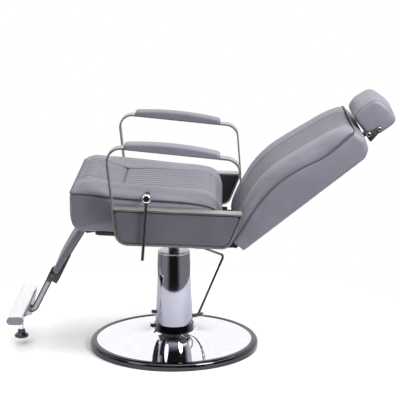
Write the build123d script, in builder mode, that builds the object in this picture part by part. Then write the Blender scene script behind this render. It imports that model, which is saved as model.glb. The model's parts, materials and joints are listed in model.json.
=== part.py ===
"""Hydraulic barber chair, shown at its lowest and fully reclined.

Frame: origin at the centre of the base on the floor, +Z up, the chair faces -Y and
the sitter's left is +X. All sizes are in millimetres. Each piece is its own node.
"""

from build123d import *
from math import cos, radians, sin, tan
import os

os.makedirs("parts", exist_ok=True)


# ---------------------------------------------------------------- driving dimensions

FIT = 0.05

# base and pump
BASE_RADIUS = 300.0
RIM_WIDTH, RIM_HEIGHT = 24.0, 26.0
DOME_SHEET = 2.5
NECK_RADIUS, NECK_TOP = 70.0, 56.0
DISC_BOTTOM, DISC_TOP = 3.0, 9.0
FLANGE_RADIUS, FLANGE_THICKNESS = 66.0, 8.0
FLANGE_BOLT_CIRCLE = 53.0
BOLT_RADIUS, BOLT_HEX = 5.0, 9.0
COLLAR_INNER, COLLAR_TOP = 50.0, 82.0
COVER_TOP = 340.0
COVER_BOTTOM_RADIUS, COVER_TOP_RADIUS = 66.5, 56.5
COVER_SHEET = 1.6
CAP_THICKNESS = 7.0
CYLINDER_RADIUS, CYLINDER_TOP = 38.0, 330.0
CYLINDER_FLOOR = 20.0
BORE_RADIUS = 24.0
RAM_RADIUS = 19.5
RAM_BOTTOM, RAM_TOP = 30.0, 419.0
PISTON_HEIGHT = 20.0

# pump lever: it points to the rear and to the sitter's right
LEVER_AZIMUTH = 125.7
LEVER_PIVOT_REACH, LEVER_HEIGHT = 50.0, 90.0
LEVER_STUB_RADIUS, LEVER_STUB_END = 7.0, 120.0
LEVER_TRUNNION = 5.0
LUG_INNER, LUG_OUTER = 9.0, 14.0
ROD_FOOT_REACH, ROD_BEND_REACH = 105.0, 218.0
ROD_BEND_HEIGHT, ROD_BEND_RADIUS = 294.0, 14.0
ROD_RADIUS = 4.5
FOOT_BAR_LENGTH = 255.0
PLUNGER_REACH, PLUNGER_RADIUS = 60.0, 7.0
PLUNGER_BOTTOM, PLUNGER_TOP = 31.0, 82.5

# seat, which slopes back
SEAT_TILT = 2.4
SEAT_HALF_WIDTH = 290.0
SEAT_FRONT, SEAT_REAR = -334.0, 167.0
SEAT_UNDERSIDE = 470.0
SEAT_FRONT_TOP, SEAT_MID_TOP, SEAT_REAR_TOP = 643.0, 622.0, 595.0
SEAT_EDGE_RADIUS = 24.0
BOARD_THICKNESS = 12.0
BOARD_HALF_WIDTH = 270.0
TUBE, TUBE_WALL = 25.0, 2.5
RAIL_X = 110.0
RAIL_FRONT, RAIL_REAR = -220.0, 165.0
CROSS_TUBE_Y = 95.0
TUBE_BOTTOM = SEAT_UNDERSIDE - BOARD_THICKNESS - TUBE
END_PLATE = 6.0
SOCKET_PLATE_X, SOCKET_PLATE_Y, SOCKET_PLATE_Z = 250.0, 220.0, 8.0
SOCKET_RADIUS, SOCKET_BOTTOM = 30.0, 372.0
SOCKET_BOLT_Y = 62.0

# arm frames, side panels and arm pads
ARM_INNER_X, BAR_WIDTH, BAR_THICKNESS = 300.0, 50.0, 6.0
ARM_OUTLINE = [(-181, 455), (-215, 786), (227, 741), (241, 560), (193, 441)]
ARM_CORNER_RADII = [45, 48, 50, 6, 38]
STRIP_FRONT, STRIP_REAR = (-191, 577), (238, 559)
PANEL_GAP = 0.3
PANEL_BOARD_THICKNESS = 15.5
PANEL_OUTER_X = 346.0
PANEL_EDGE_RADIUS = 8.0
PANEL_BOLT_RADIUS, PANEL_BOLT_DEPTH = 4.0, 14.0
PAD_LENGTH, PAD_WIDTH = 316.0, 58.0
PAD_END_HEIGHT, PAD_MID_HEIGHT, PAD_SKIRT = 14.0, 25.0, 6.0
PAD_SCREW_SPACING, PAD_SCREW_RADIUS, PAD_SCREW_DEPTH = 110.0, 2.5, 8.0

# recline hinge, gas spring and back
BACK_ANGLE = 38.47
BACK_Y, BACK_Z = 246.8, 415.1
HINGE_ALONG, HINGE_OUT = -3.0, 47.0
BACK_HALF_WIDTH, SHELL_WALL = 260.0, 12.0
BACK_TUBE_RADIUS, BACK_TUBE_HALF = 10.0, 230.0
HINGE_PIN_RADIUS = 7.0
BRACKET_X, BRACKET_THICKNESS = 235.0, 6.0
SPRING_X, SPRING_ARM, SPRING_ARM_ANGLE = 60.0, 65.0, 19.0
SPRING_LEVER_THICKNESS = 6.0
SPRING_RADIUS, SPRING_BORE, SPRING_ROD = 11.0, 9.0, 5.0
SPRING_PIN = 4.0
SPRING_EYE_Y, SPRING_FRONT, SPRING_END = -80.0, -66.0, 105.0
FORK_GAP, FORK_THICKNESS, FORK_HEIGHT = 7.0, 6.0, 20.0

# headrest
HEADREST_HALF_WIDTH = 134.0
EAR_GAP, EAR_THICKNESS = 3.0, 4.0
HEADREST_PIVOT, HEADREST_CLAMP = (559, 33), (597, 27)
POST_HALF_WIDTH, POST_THICKNESS, POST_BACK = 25.0, 8.0, 12.0
GUIDE_WALL = 1.7

# recline lever
HUB_Y, HUB_Z = -77.0, 614.0
HUB_INNER_X, HUB_OUTER_X, HUB_RADIUS = 350.0, 368.0, 14.5
HUB_SHAFT = 5.0
BUSH_RADIUS, BUSH_INNER_X, BUSH_OUTER_X = 7.5, 264.0, 292.0
HANDLE_X, HANDLE_RADIUS = 360.0, 5.0
HANDLE_TIP_Y, HANDLE_TIP_Z = -92.0, 405.0

# leg rest, whose own frame runs down the board from its hinge
LEG_TILT = 32.05
LEG_HINGE_Y, LEG_HINGE_Z = -296.5, 437.7
LEG_HINGE_OFFSET, LEG_PIN = 10.0, 4.0
LEG_HALF_WIDTH = 130.0
LEG_TOP, LEG_BOTTOM = -25.0, 180.0
LEG_PAD_THICKNESS, LEG_SHEET = 24.0, 3.0
KNUCKLE_INNER_X, KNUCKLE_OUTER_X, KNUCKLE_RADIUS = 60.0, 83.7, 7.5
LEG_BRACKET_X = 84.0

# footrest
FLIP_ALONG, FLIP_OUT, FLIP_BOLT = 223.0, 8.0, 5.0
ARM_HALF_THICKNESS, ARM_WIDTH = 8.0, 22.0
ARM_TOP, ARM_ELBOW, ARM_TOE = (-424, 274), (-497, 131), (-562, 118)
ARM_BEND = 22.0
FOOTPLATE_HALF_LENGTH = 200.0
FOOTPLATE_DEPTH, FOOTPLATE_HEIGHT, FOOTPLATE_WALL = 59.0, 28.0, 2.5
FOOTPLATE_Y, FOOTPLATE_Z = -540.5, 145.5
WING_HALF_LENGTH, WING_SHEET = 160.0, 3.0
POST_Y, POST_RADIUS = -547.0, 8.0
POST_BOTTOM, FOOT_BOTTOM = 40.0, 25.0


# ---------------------------------------------------------------- helpers

def save(piece, label):
    """Label a finished piece and write it as its own STEP file."""
    piece.part.label = label
    export_step(piece.part, f"parts/{label}.step")


def save_pair(piece, label):
    """Write a left-hand piece and its mirror image on the right."""
    save(piece, f"{label}_left")
    with BuildPart() as right_hand:
        mirror(piece.part, about=Plane.YZ)
    save(right_hand, f"{label}_right")


def side_plane(x):
    """Upright plane across the chair at x: local x is Y and local y is Z."""
    return Plane.YZ.offset(x)


def back_plane(x):
    """Plane across the back at x: local x runs up the back, local y to its front."""
    along = (0, cos(radians(BACK_ANGLE)), sin(radians(BACK_ANGLE)))
    return Plane(origin=(x, BACK_Y, BACK_Z), x_dir=along, z_dir=(1, 0, 0))


def leg_plane(x):
    """Plane across the leg rest at x: local x runs down it, local y to its front.

    It looks to the sitter's right, so a positive extrusion runs towards -X.
    """
    down = (0, -sin(radians(LEG_TILT)), -cos(radians(LEG_TILT)))
    front = Vector(0, -cos(radians(LEG_TILT)), sin(radians(LEG_TILT)))
    face = Vector(x, LEG_HINGE_Y, LEG_HINGE_Z) + front * LEG_HINGE_OFFSET
    return Plane(origin=face, x_dir=down, z_dir=(-1, 0, 0))


def seat_plane(height):
    """Plane that slopes with the seat, at a height counted square to the cushion's underside."""
    normal = (0, sin(radians(SEAT_TILT)), cos(radians(SEAT_TILT)))
    underside = Plane(origin=(0, 0, SEAT_UNDERSIDE), x_dir=(1, 0, 0), z_dir=normal)
    return underside.offset(height - SEAT_UNDERSIDE)


def seat_height(y, height):
    """Height at y of the plane that crosses the centre line at the given height."""
    return height - y * tan(radians(SEAT_TILT))


def arm_top_plane(x):
    """Plane on top of an arm's bar at x: local x is X, local y runs to the rear."""
    front, rear = Vector(0, *ARM_OUTLINE[1]), Vector(0, *ARM_OUTLINE[2])
    along = (rear - front).normalized()
    normal = Vector(1, 0, 0).cross(along)
    return Plane(origin=(front + rear) / 2 + Vector(x, 0, 0), x_dir=(1, 0, 0), z_dir=normal)


lever_out = Vector(cos(radians(LEVER_AZIMUTH)), sin(radians(LEVER_AZIMUTH)), 0)
lever_across = Vector(0, 0, 1).cross(lever_out)
# local x runs out along the lever and local y up
lever_plane = Plane(origin=(0, 0, 0), x_dir=lever_out, z_dir=lever_across * -1)


# ---------------------------------------------------------------- base

rim_inner = BASE_RADIUS - RIM_WIDTH

with BuildPart() as base_rim:
    with BuildSketch(Plane.XZ):
        with Locations((rim_inner, 0)):
            Rectangle(RIM_WIDTH, RIM_HEIGHT, align=Align.MIN)
        outer_corners = vertices().group_by(Axis.X)[-1].sort_by(Axis.Y)
        fillet(outer_corners[-1], 14)
        fillet(outer_corners[0], 4)
    revolve(axis=Axis.Z)
save(base_rim, "base_rim")

with BuildPart() as base_dome:
    with BuildSketch(Plane.XZ):
        with BuildLine():
            outside = Bezier((rim_inner, 24), (170, 24), (95, 36), (NECK_RADIUS, NECK_TOP))
            inside = Bezier(
                (rim_inner, 24 - DOME_SHEET), (170, 24 - DOME_SHEET),
                (95 - DOME_SHEET, 36 - DOME_SHEET), (NECK_RADIUS - DOME_SHEET, NECK_TOP),
            )
            Line(outside @ 0, inside @ 0)
            Line(outside @ 1, inside @ 1)
        make_face()
    revolve(axis=Axis.Z)
save(base_dome, "base_dome")

bolt_circle = PolarLocations(FLANGE_BOLT_CIRCLE, 4, start_angle=LEVER_AZIMUTH - 45)

with BuildPart() as base_weight:
    with BuildSketch(Plane.XY.offset(DISC_BOTTOM)):
        Circle(rim_inner)
        with bolt_circle:
            Circle(BOLT_RADIUS, mode=Mode.SUBTRACT)
    extrude(amount=DISC_TOP - DISC_BOTTOM)
save(base_weight, "base_weight")

flange_top = DISC_TOP + FLANGE_THICKNESS

with BuildPart() as pump_cylinder:
    with BuildSketch(Plane.XY.offset(DISC_TOP)):
        Circle(FLANGE_RADIUS)
        with bolt_circle:
            Circle(BOLT_RADIUS, mode=Mode.SUBTRACT)
    extrude(amount=FLANGE_THICKNESS)
    with BuildSketch(Plane.XY.offset(DISC_TOP)):
        Circle(CYLINDER_RADIUS)
    extrude(amount=CYLINDER_TOP - DISC_TOP)
    with BuildSketch(Plane.XY.offset(CYLINDER_FLOOR)):
        Circle(BORE_RADIUS)
    extrude(amount=CYLINDER_TOP, mode=Mode.SUBTRACT)
save(pump_cylinder, "pump_cylinder")

with BuildPart() as flange_bolts:
    with BuildSketch(Plane.XY.offset(DISC_BOTTOM)):
        with bolt_circle:
            Circle(BOLT_RADIUS)
    extrude(amount=flange_top - DISC_BOTTOM)
    with BuildSketch(Plane.XY.offset(flange_top)):
        with bolt_circle:
            RegularPolygon(BOLT_HEX, 6)
    extrude(amount=6)
save(flange_bolts, "flange_bolts")

with BuildPart() as ram_gland:
    with BuildSketch(Plane.XY.offset(CYLINDER_TOP)):
        Circle(CYLINDER_RADIUS)
        Circle(RAM_RADIUS + FIT, mode=Mode.SUBTRACT)
    extrude(amount=COVER_TOP - CYLINDER_TOP)
save(ram_gland, "ram_gland")

with BuildPart() as ram:
    with BuildSketch(Plane.XY.offset(RAM_BOTTOM)):
        Circle(RAM_RADIUS)
    extrude(amount=RAM_TOP - RAM_BOTTOM)
    with BuildSketch(Plane.XY.offset(RAM_BOTTOM)):
        Circle(BORE_RADIUS - FIT)
    extrude(amount=PISTON_HEIGHT)
    chamfer(edges().group_by(Axis.Z)[-1], 1.5)
save(ram, "ram")

cover_screw_z = (69.0, 120.0)
cover_screw_y = (-NECK_RADIUS, -65.4)
screw_shank, screw_head, screw_length = 3.0, 7.0, 15.0

with BuildPart() as pump_collar:
    with BuildSketch(Plane.XY.offset(NECK_TOP)):
        Circle(NECK_RADIUS)
        Circle(COLLAR_INNER, mode=Mode.SUBTRACT)
    extrude(amount=COLLAR_TOP - NECK_TOP)
    with BuildSketch(lever_plane):
        with Locations((COLLAR_INNER + 12, (NECK_TOP + COLLAR_TOP) / 2)):
            Rectangle(40, 60)
    extrude(amount=16, both=True, mode=Mode.SUBTRACT)
    with BuildSketch(Plane.XZ.offset(COLLAR_INNER - 5)):
        with Locations((0, cover_screw_z[0])):
            Circle(screw_shank)
    extrude(amount=40, mode=Mode.SUBTRACT)
save(pump_collar, "pump_collar")

with BuildPart() as pump_cover:
    with BuildSketch(Plane.XZ):
        with BuildLine():
            Polyline(
                (COVER_BOTTOM_RADIUS, COLLAR_TOP), (COVER_TOP_RADIUS, COVER_TOP),
                (COVER_TOP_RADIUS - COVER_SHEET, COVER_TOP),
                (COVER_BOTTOM_RADIUS - COVER_SHEET, COLLAR_TOP), close=True,
            )
        make_face()
    revolve(axis=Axis.Z)
    with BuildSketch(lever_plane):
        with Locations((COVER_BOTTOM_RADIUS, LEVER_HEIGHT - 8)):
            Rectangle(30, 46)
    extrude(amount=10, both=True, mode=Mode.SUBTRACT)
    with BuildSketch(Plane.XZ.offset(COLLAR_INNER)):
        with Locations((0, cover_screw_z[1])):
            Circle(screw_shank)
    extrude(amount=40, mode=Mode.SUBTRACT)
save(pump_cover, "pump_cover")

with BuildPart() as cover_cap:
    with BuildSketch(Plane.XY.offset(COVER_TOP)):
        Circle(COVER_TOP_RADIUS)
        Circle(RAM_RADIUS + 0.3, mode=Mode.SUBTRACT)
    extrude(amount=CAP_THICKNESS)
    fillet(faces().sort_by(Axis.Z)[-1].edges().group_by(SortBy.RADIUS)[-1], 2.5)
save(cover_cap, "cover_cap")

with BuildPart() as cover_screws:
    for screw_y, screw_z in zip(cover_screw_y, cover_screw_z):
        with BuildSketch(Plane.XZ.offset(-screw_y)):
            with Locations((0, screw_z)):
                RegularPolygon(screw_head, 6)
        extrude(amount=screw_length)
        with BuildSketch(Plane.XZ.offset(-screw_y)):
            with Locations((0, screw_z)):
                Circle(screw_shank)
        extrude(amount=-12)
save(cover_screws, "cover_screws")


# ---------------------------------------------------------------- foot pump

with BuildPart() as pump_block:
    with BuildSketch(lever_plane):
        with Locations((CYLINDER_RADIUS - 4, flange_top)):
            Rectangle(41, 27, align=Align.MIN)
    extrude(amount=LUG_OUTER, both=True)
    with BuildSketch(lever_plane):
        with Locations((44, flange_top)):
            Rectangle(16, LEVER_HEIGHT + 10 - flange_top, align=Align.MIN)
    extrude(amount=LUG_OUTER, both=True)
    with BuildSketch(lever_plane):
        with Locations((40, flange_top + 27)):
            Rectangle(40, 80, align=Align.MIN)
    extrude(amount=LUG_INNER, both=True, mode=Mode.SUBTRACT)
    with BuildSketch(lever_plane):
        with Locations((LEVER_PIVOT_REACH, LEVER_HEIGHT)):
            Circle(LEVER_TRUNNION + FIT)
    extrude(amount=LUG_OUTER, both=True, mode=Mode.SUBTRACT)
    with BuildSketch(Plane.XY.offset(CYLINDER_FLOOR)):
        with Locations(lever_out * PLUNGER_REACH):
            Circle(PLUNGER_RADIUS)
    extrude(amount=40, mode=Mode.SUBTRACT)
    with BuildSketch(Plane.XY.offset(flange_top)):
        Circle(CYLINDER_RADIUS)
    extrude(amount=100, mode=Mode.SUBTRACT)
save(pump_block, "pump_block")

with BuildPart() as pump_plunger:
    with BuildSketch(Plane.XY.offset(PLUNGER_BOTTOM)):
        with Locations(lever_out * PLUNGER_REACH):
            Circle(PLUNGER_RADIUS - FIT)
    extrude(amount=PLUNGER_TOP - PLUNGER_BOTTOM)
    fillet(edges().group_by(Axis.Z)[-1], 3)
save(pump_plunger, "pump_plunger")

rod_foot = (ROD_FOOT_REACH, LEVER_HEIGHT + 2)
stub_start = LEVER_PIVOT_REACH - 6

with BuildPart() as pump_lever_rod:
    with BuildLine() as rod_path:
        bend = lever_out * ROD_BEND_REACH + Vector(0, 0, ROD_BEND_HEIGHT)
        foot_bar_end = bend + lever_across * FOOT_BAR_LENGTH
        FilletPolyline(
            lever_plane.from_local_coords(rod_foot), bend, foot_bar_end, radius=ROD_BEND_RADIUS,
        )
    with BuildSketch(Plane(origin=rod_path.line @ 0, z_dir=rod_path.line % 0)):
        Circle(ROD_RADIUS)
    sweep()
    fillet(edges().filter_by(GeomType.CIRCLE).sort_by_distance(foot_bar_end)[0], 2)
save(pump_lever_rod, "pump_lever_rod")

with BuildPart() as pump_lever_stub:
    with BuildSketch(Plane(origin=lever_out * stub_start + Vector(0, 0, LEVER_HEIGHT), z_dir=lever_out)):
        Circle(LEVER_STUB_RADIUS)
    extrude(amount=LEVER_STUB_END - stub_start)
    with BuildSketch(lever_plane):
        with Locations((LEVER_PIVOT_REACH, LEVER_HEIGHT)):
            Circle(LEVER_TRUNNION)
    extrude(amount=LUG_OUTER, both=True)
    add(pump_lever_rod.part, mode=Mode.SUBTRACT)
save(pump_lever_stub, "pump_lever_stub")

with BuildPart() as pump_lever_screw:
    with BuildSketch(Plane(origin=lever_out * LEVER_STUB_END + Vector(0, 0, LEVER_HEIGHT), z_dir=lever_out)):
        RegularPolygon(6.5, 6)
    extrude(amount=5)
save(pump_lever_screw, "pump_lever_screw")


# ---------------------------------------------------------------- seat frame

socket_plate_bottom = TUBE_BOTTOM - SOCKET_PLATE_Z
hinge = back_plane(0).from_local_coords((HINGE_ALONG, HINGE_OUT))
arm_pin = hinge + Vector(
    0, -SPRING_ARM * sin(radians(SPRING_ARM_ANGLE)), -SPRING_ARM * cos(radians(SPRING_ARM_ANGLE)),
)
eye_half = 7.9
eye_lug = 4.0
eye_radius = 9.0

with BuildPart() as seat_socket:
    with BuildSketch(seat_plane(socket_plate_bottom)):
        RectangleRounded(SOCKET_PLATE_X, SOCKET_PLATE_Y, 12)
    extrude(amount=SOCKET_PLATE_Z)
    with BuildSketch(Plane.XY.offset(SOCKET_BOTTOM)):
        Circle(SOCKET_RADIUS)
    extrude(amount=socket_plate_bottom + 3 - SOCKET_BOTTOM)
    for lug_x in (SPRING_X - eye_half - eye_lug, SPRING_X + eye_half):
        with BuildSketch(side_plane(lug_x)):
            with Locations((SPRING_EYE_Y, arm_pin.Z)):
                Circle(eye_radius)
            with Locations((SPRING_EYE_Y, arm_pin.Z + 21)):
                Rectangle(2 * eye_radius, 42)
        extrude(amount=eye_lug)
    with BuildSketch(side_plane(SPRING_X)):
        with Locations((SPRING_EYE_Y, arm_pin.Z)):
            Circle(SPRING_PIN)
    extrude(amount=30, both=True, mode=Mode.SUBTRACT)
    with BuildSketch(Plane.XY.offset(SOCKET_BOTTOM)):
        Circle(RAM_RADIUS + FIT)
    extrude(amount=RAM_TOP + 0.5 - SOCKET_BOTTOM, mode=Mode.SUBTRACT)
    with BuildSketch(seat_plane(socket_plate_bottom)):
        with GridLocations(2 * RAIL_X, 2 * SOCKET_BOLT_Y, 2, 2):
            Circle(BOLT_RADIUS)
    extrude(amount=SOCKET_PLATE_Z, mode=Mode.SUBTRACT)
save(seat_socket, "seat_socket")

bolt_tip = TUBE_BOTTOM + TUBE_WALL

with BuildPart() as socket_bolts:
    with BuildSketch(seat_plane(socket_plate_bottom)):
        with GridLocations(2 * RAIL_X, 2 * SOCKET_BOLT_Y, 2, 2):
            Circle(BOLT_RADIUS)
    extrude(amount=bolt_tip + 12 - socket_plate_bottom)
    with BuildSketch(seat_plane(socket_plate_bottom)):
        with GridLocations(2 * RAIL_X, 2 * SOCKET_BOLT_Y, 2, 2):
            RegularPolygon(BOLT_HEX, 6)
    extrude(amount=-6)
    with BuildSketch(seat_plane(bolt_tip)):
        with GridLocations(2 * RAIL_X, 2 * SOCKET_BOLT_Y, 2, 2):
            RegularPolygon(BOLT_HEX, 6)
    extrude(amount=8)
save(socket_bolts, "socket_bolts")

rail_length = RAIL_REAR - RAIL_FRONT
tube_inside = TUBE - 2 * TUBE_WALL

with BuildPart(seat_plane(TUBE_BOTTOM)) as seat_rails:
    with Locations((RAIL_X, RAIL_FRONT, 0), (-RAIL_X, RAIL_FRONT, 0)):
        Box(TUBE, rail_length, TUBE, align=(Align.CENTER, Align.MIN, Align.MIN))
    with Locations((RAIL_X, RAIL_FRONT, TUBE / 2), (-RAIL_X, RAIL_FRONT, TUBE / 2)):
        Box(
            tube_inside, rail_length, tube_inside,
            align=(Align.CENTER, Align.MIN, Align.CENTER), mode=Mode.SUBTRACT,
        )
    with GridLocations(2 * RAIL_X, 2 * SOCKET_BOLT_Y, 2, 2):
        Cylinder(BOLT_RADIUS, 2 * TUBE_WALL, mode=Mode.SUBTRACT)
save(seat_rails, "seat_rails")

between_rails = 2 * RAIL_X - TUBE
outrigger_start = RAIL_X + TUBE / 2
outrigger = ARM_INNER_X - END_PLATE - outrigger_start
front_tube_y = RAIL_FRONT - TUBE / 2
rear_tube_y = RAIL_REAR + TUBE / 2
panel_bolt_places = [
    (side * ARM_INNER_X, y + offset, 46)
    for side in (1, -1) for y in (-CROSS_TUBE_Y, CROSS_TUBE_Y) for offset in (-20, 20)
]

with BuildPart(seat_plane(TUBE_BOTTOM)) as seat_cross_tubes:
    tube_spans = [
        (0, -CROSS_TUBE_Y, between_rails),
        (0, CROSS_TUBE_Y, between_rails),
        (0, front_tube_y, 2 * outrigger_start),
        (0, rear_tube_y, 2 * BRACKET_X),
    ]
    for side in (1, -1):
        for tube_y in (-CROSS_TUBE_Y, CROSS_TUBE_Y):
            tube_spans.append((side * (outrigger_start + outrigger / 2), tube_y, outrigger))
    for tube_x, tube_y, length in tube_spans:
        with Locations((tube_x, tube_y, TUBE / 2)):
            Box(length, TUBE, TUBE)
            Box(length, tube_inside, tube_inside, mode=Mode.SUBTRACT)
    for side in (1, -1):
        for tube_y in (-CROSS_TUBE_Y, CROSS_TUBE_Y):
            with Locations((side * (ARM_INNER_X - END_PLATE / 2), tube_y, 33)):
                Box(END_PLATE, 60, 54)
    with Locations(panel_bolt_places):
        Cylinder(PANEL_BOLT_RADIUS, 2 * END_PLATE + 1, rotation=(0, 90, 0), mode=Mode.SUBTRACT)
save(seat_cross_tubes, "seat_cross_tubes")

with BuildPart() as panel_bolts:
    for bolt_x, bolt_y, bolt_up in panel_bolt_places:
        side = 1 if bolt_x > 0 else -1
        centre = seat_plane(TUBE_BOTTOM).from_local_coords((bolt_x, bolt_y, bolt_up))
        inner_face = centre - Vector(side * END_PLATE, 0, 0)
        with BuildSketch(Plane(origin=inner_face, z_dir=(side, 0, 0))):
            Circle(PANEL_BOLT_RADIUS)
        extrude(amount=END_PLATE + PANEL_BOLT_DEPTH)
        with BuildSketch(Plane(origin=inner_face, z_dir=(-side, 0, 0))):
            Circle(7)
        extrude(amount=3.5)
save(panel_bolts, "panel_bolts")

board_bottom = TUBE_BOTTOM + TUBE

with BuildPart(seat_plane(board_bottom)) as seat_board:
    board_front, board_rear = -255.0, 160.0
    with Locations((0, (board_front + board_rear) / 2, 0)):
        Box(
            2 * BOARD_HALF_WIDTH, board_rear - board_front, BOARD_THICKNESS,
            align=(Align.CENTER, Align.CENTER, Align.MIN),
        )
    fillet(edges().filter_by(lambda edge: edge.length < BOARD_THICKNESS + 1), 20)
save(seat_board, "seat_board")


# ---------------------------------------------------------------- seat cushion

board_top = seat_height(HUB_Y, SEAT_UNDERSIDE)
bracket_half = 13.0
bracket_sheet = 4.0
foot_reach = 22.0

with BuildPart() as lever_bush:
    with BuildSketch(side_plane(BUSH_INNER_X)):
        with Locations((HUB_Y, HUB_Z)):
            Circle(BUSH_RADIUS)
    extrude(amount=BUSH_OUTER_X - BUSH_INNER_X)
    with BuildSketch(side_plane(BUSH_INNER_X)):
        with Locations((HUB_Y, (board_top + HUB_Z) / 2)):
            Rectangle(BUSH_RADIUS * 2, HUB_Z - board_top)
    extrude(amount=bracket_sheet)
    with BuildSketch(side_plane(BUSH_INNER_X + bracket_sheet)):
        with Locations((HUB_Y, board_top + 2)):
            Rectangle(2 * bracket_half, bracket_sheet)
    extrude(amount=-foot_reach)
    with BuildSketch(side_plane(BUSH_INNER_X)):
        with Locations((HUB_Y, HUB_Z)):
            Circle(HUB_SHAFT + FIT)
    extrude(amount=50, mode=Mode.SUBTRACT)
    split(bisect_by=seat_plane(SEAT_UNDERSIDE), keep=Keep.TOP)
save(lever_bush, "lever_bush")

with BuildPart() as seat_cushion:
    with BuildSketch(side_plane(-SEAT_HALF_WIDTH)):
        with BuildLine():
            FilletPolyline(
                (SEAT_FRONT, seat_height(SEAT_FRONT, SEAT_UNDERSIDE)),
                (SEAT_FRONT, SEAT_FRONT_TOP), (HUB_Y, SEAT_MID_TOP), (SEAT_REAR, SEAT_REAR_TOP),
                (SEAT_REAR, seat_height(SEAT_REAR, SEAT_UNDERSIDE)),
                radius=[36, 42, 400, 32, 26], close=True,
            )
        make_face()
    extrude(amount=2 * SEAT_HALF_WIDTH)
    fillet(faces().filter_by(Axis.X).edges(), SEAT_EDGE_RADIUS)
    with BuildSketch(side_plane(BUSH_INNER_X - 0.5)):
        with Locations((HUB_Y, HUB_Z)):
            Circle(BUSH_RADIUS + 0.5)
    extrude(amount=60, mode=Mode.SUBTRACT)
    with BuildSketch(side_plane(BUSH_INNER_X - 0.5)):
        with Locations((HUB_Y, (board_top + HUB_Z) / 2 - 5)):
            Rectangle(2 * BUSH_RADIUS + 1, HUB_Z - board_top + 10)
    extrude(amount=bracket_sheet + 1, mode=Mode.SUBTRACT)
    with BuildSketch(side_plane(BUSH_INNER_X + bracket_sheet + 0.5)):
        with Locations((HUB_Y, board_top)):
            Rectangle(2 * bracket_half + 1, 10)
    extrude(amount=-foot_reach - 1, mode=Mode.SUBTRACT)
save(seat_cushion, "seat_cushion")


# ---------------------------------------------------------------- arms

with BuildPart() as arm_frame:
    with BuildSketch(side_plane(ARM_INNER_X)):
        with BuildLine():
            FilletPolyline(*ARM_OUTLINE, radius=ARM_CORNER_RADII, close=True)
        make_face()
        offset(amount=-BAR_THICKNESS, mode=Mode.SUBTRACT)
        with BuildLine():
            front, rear = Vector(*STRIP_FRONT), Vector(*STRIP_REAR)
            drop = Vector(0, -BAR_THICKNESS)
            Polyline(front, rear, rear + drop, front + drop, close=True)
        make_face()
    extrude(amount=BAR_WIDTH)
    with BuildSketch(arm_top_plane(ARM_INNER_X + BAR_WIDTH / 2)):
        with GridLocations(1, PAD_SCREW_SPACING, 1, 3):
            Circle(PAD_SCREW_RADIUS)
    extrude(amount=-2 * BAR_THICKNESS, mode=Mode.SUBTRACT)
save_pair(arm_frame, "arm_frame")

pad_inner_x = ARM_INNER_X - (PAD_WIDTH - BAR_WIDTH) / 2
pad_side = Plane(origin=arm_top_plane(pad_inner_x).origin, x_dir=arm_top_plane(0).y_dir, z_dir=(1, 0, 0))

with BuildPart() as arm_pad:
    with BuildSketch(pad_side):
        with BuildLine():
            half = PAD_LENGTH / 2
            Polyline(
                (-half, PAD_END_HEIGHT), (-half, -PAD_SKIRT), (half, -PAD_SKIRT), (half, PAD_END_HEIGHT),
            )
            ThreePointArc((half, PAD_END_HEIGHT), (0, PAD_MID_HEIGHT), (-half, PAD_END_HEIGHT))
        make_face()
        fillet(vertices().group_by(Axis.Y)[-1], 11)
    extrude(amount=PAD_WIDTH)
    fillet(edges().filter_by(GeomType.CIRCLE).sort_by(SortBy.LENGTH)[-2:], 8)
    with BuildSketch(arm_top_plane(ARM_INNER_X + BAR_WIDTH / 2)):
        Rectangle(BAR_WIDTH + 0.4, PAD_LENGTH + 20)
    extrude(amount=-2 * PAD_SKIRT, mode=Mode.SUBTRACT)
    with BuildSketch(arm_top_plane(ARM_INNER_X + BAR_WIDTH / 2)):
        with GridLocations(1, PAD_SCREW_SPACING, 1, 3):
            Circle(PAD_SCREW_RADIUS)
    extrude(amount=PAD_SCREW_DEPTH, mode=Mode.SUBTRACT)
save_pair(arm_pad, "arm_pad")

with BuildPart() as arm_pad_screws:
    with BuildSketch(arm_top_plane(ARM_INNER_X + BAR_WIDTH / 2).offset(-BAR_THICKNESS)):
        with GridLocations(1, PAD_SCREW_SPACING, 1, 3):
            Circle(PAD_SCREW_RADIUS)
    extrude(amount=BAR_THICKNESS + PAD_SCREW_DEPTH)
    with BuildSketch(arm_top_plane(ARM_INNER_X + BAR_WIDTH / 2).offset(-BAR_THICKNESS)):
        with GridLocations(1, PAD_SCREW_SPACING, 1, 3):
            Circle(2 * PAD_SCREW_RADIUS)
    extrude(amount=-PAD_SCREW_RADIUS)
    mirror(about=Plane.YZ)
save(arm_pad_screws, "arm_pad_screws")

panel_inset = BAR_THICKNESS + PANEL_GAP

with BuildPart() as panel_board:
    with BuildSketch(side_plane(ARM_INNER_X)) as panel_outline:
        with BuildLine():
            FilletPolyline(*ARM_OUTLINE, radius=ARM_CORNER_RADII, close=True)
        make_face()
        offset(amount=-panel_inset, mode=Mode.REPLACE)
        with BuildLine():
            front, rear = Vector(*STRIP_FRONT), Vector(*STRIP_REAR)
            down = Vector(0, -panel_inset)
            reach = (rear - front).normalized() * 40
            low = Vector(0, -300)
            Polyline(
                front + down - reach, rear + down + reach,
                rear + reach + low, front - reach + low, close=True,
            )
        make_face(mode=Mode.INTERSECT)
        fillet(vertices().group_by(Axis.Y)[-1] + vertices().group_by(Axis.Y)[-2], 12)
    extrude(amount=PANEL_BOARD_THICKNESS)
    for bolt_x, bolt_y, bolt_up in panel_bolt_places[:4]:
        centre = seat_plane(TUBE_BOTTOM).from_local_coords((bolt_x, bolt_y, bolt_up))
        with BuildSketch(Plane(origin=centre, z_dir=(1, 0, 0))):
            Circle(PANEL_BOLT_RADIUS)
        extrude(amount=PANEL_BOLT_DEPTH, mode=Mode.SUBTRACT)
save_pair(panel_board, "panel_board")

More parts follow.
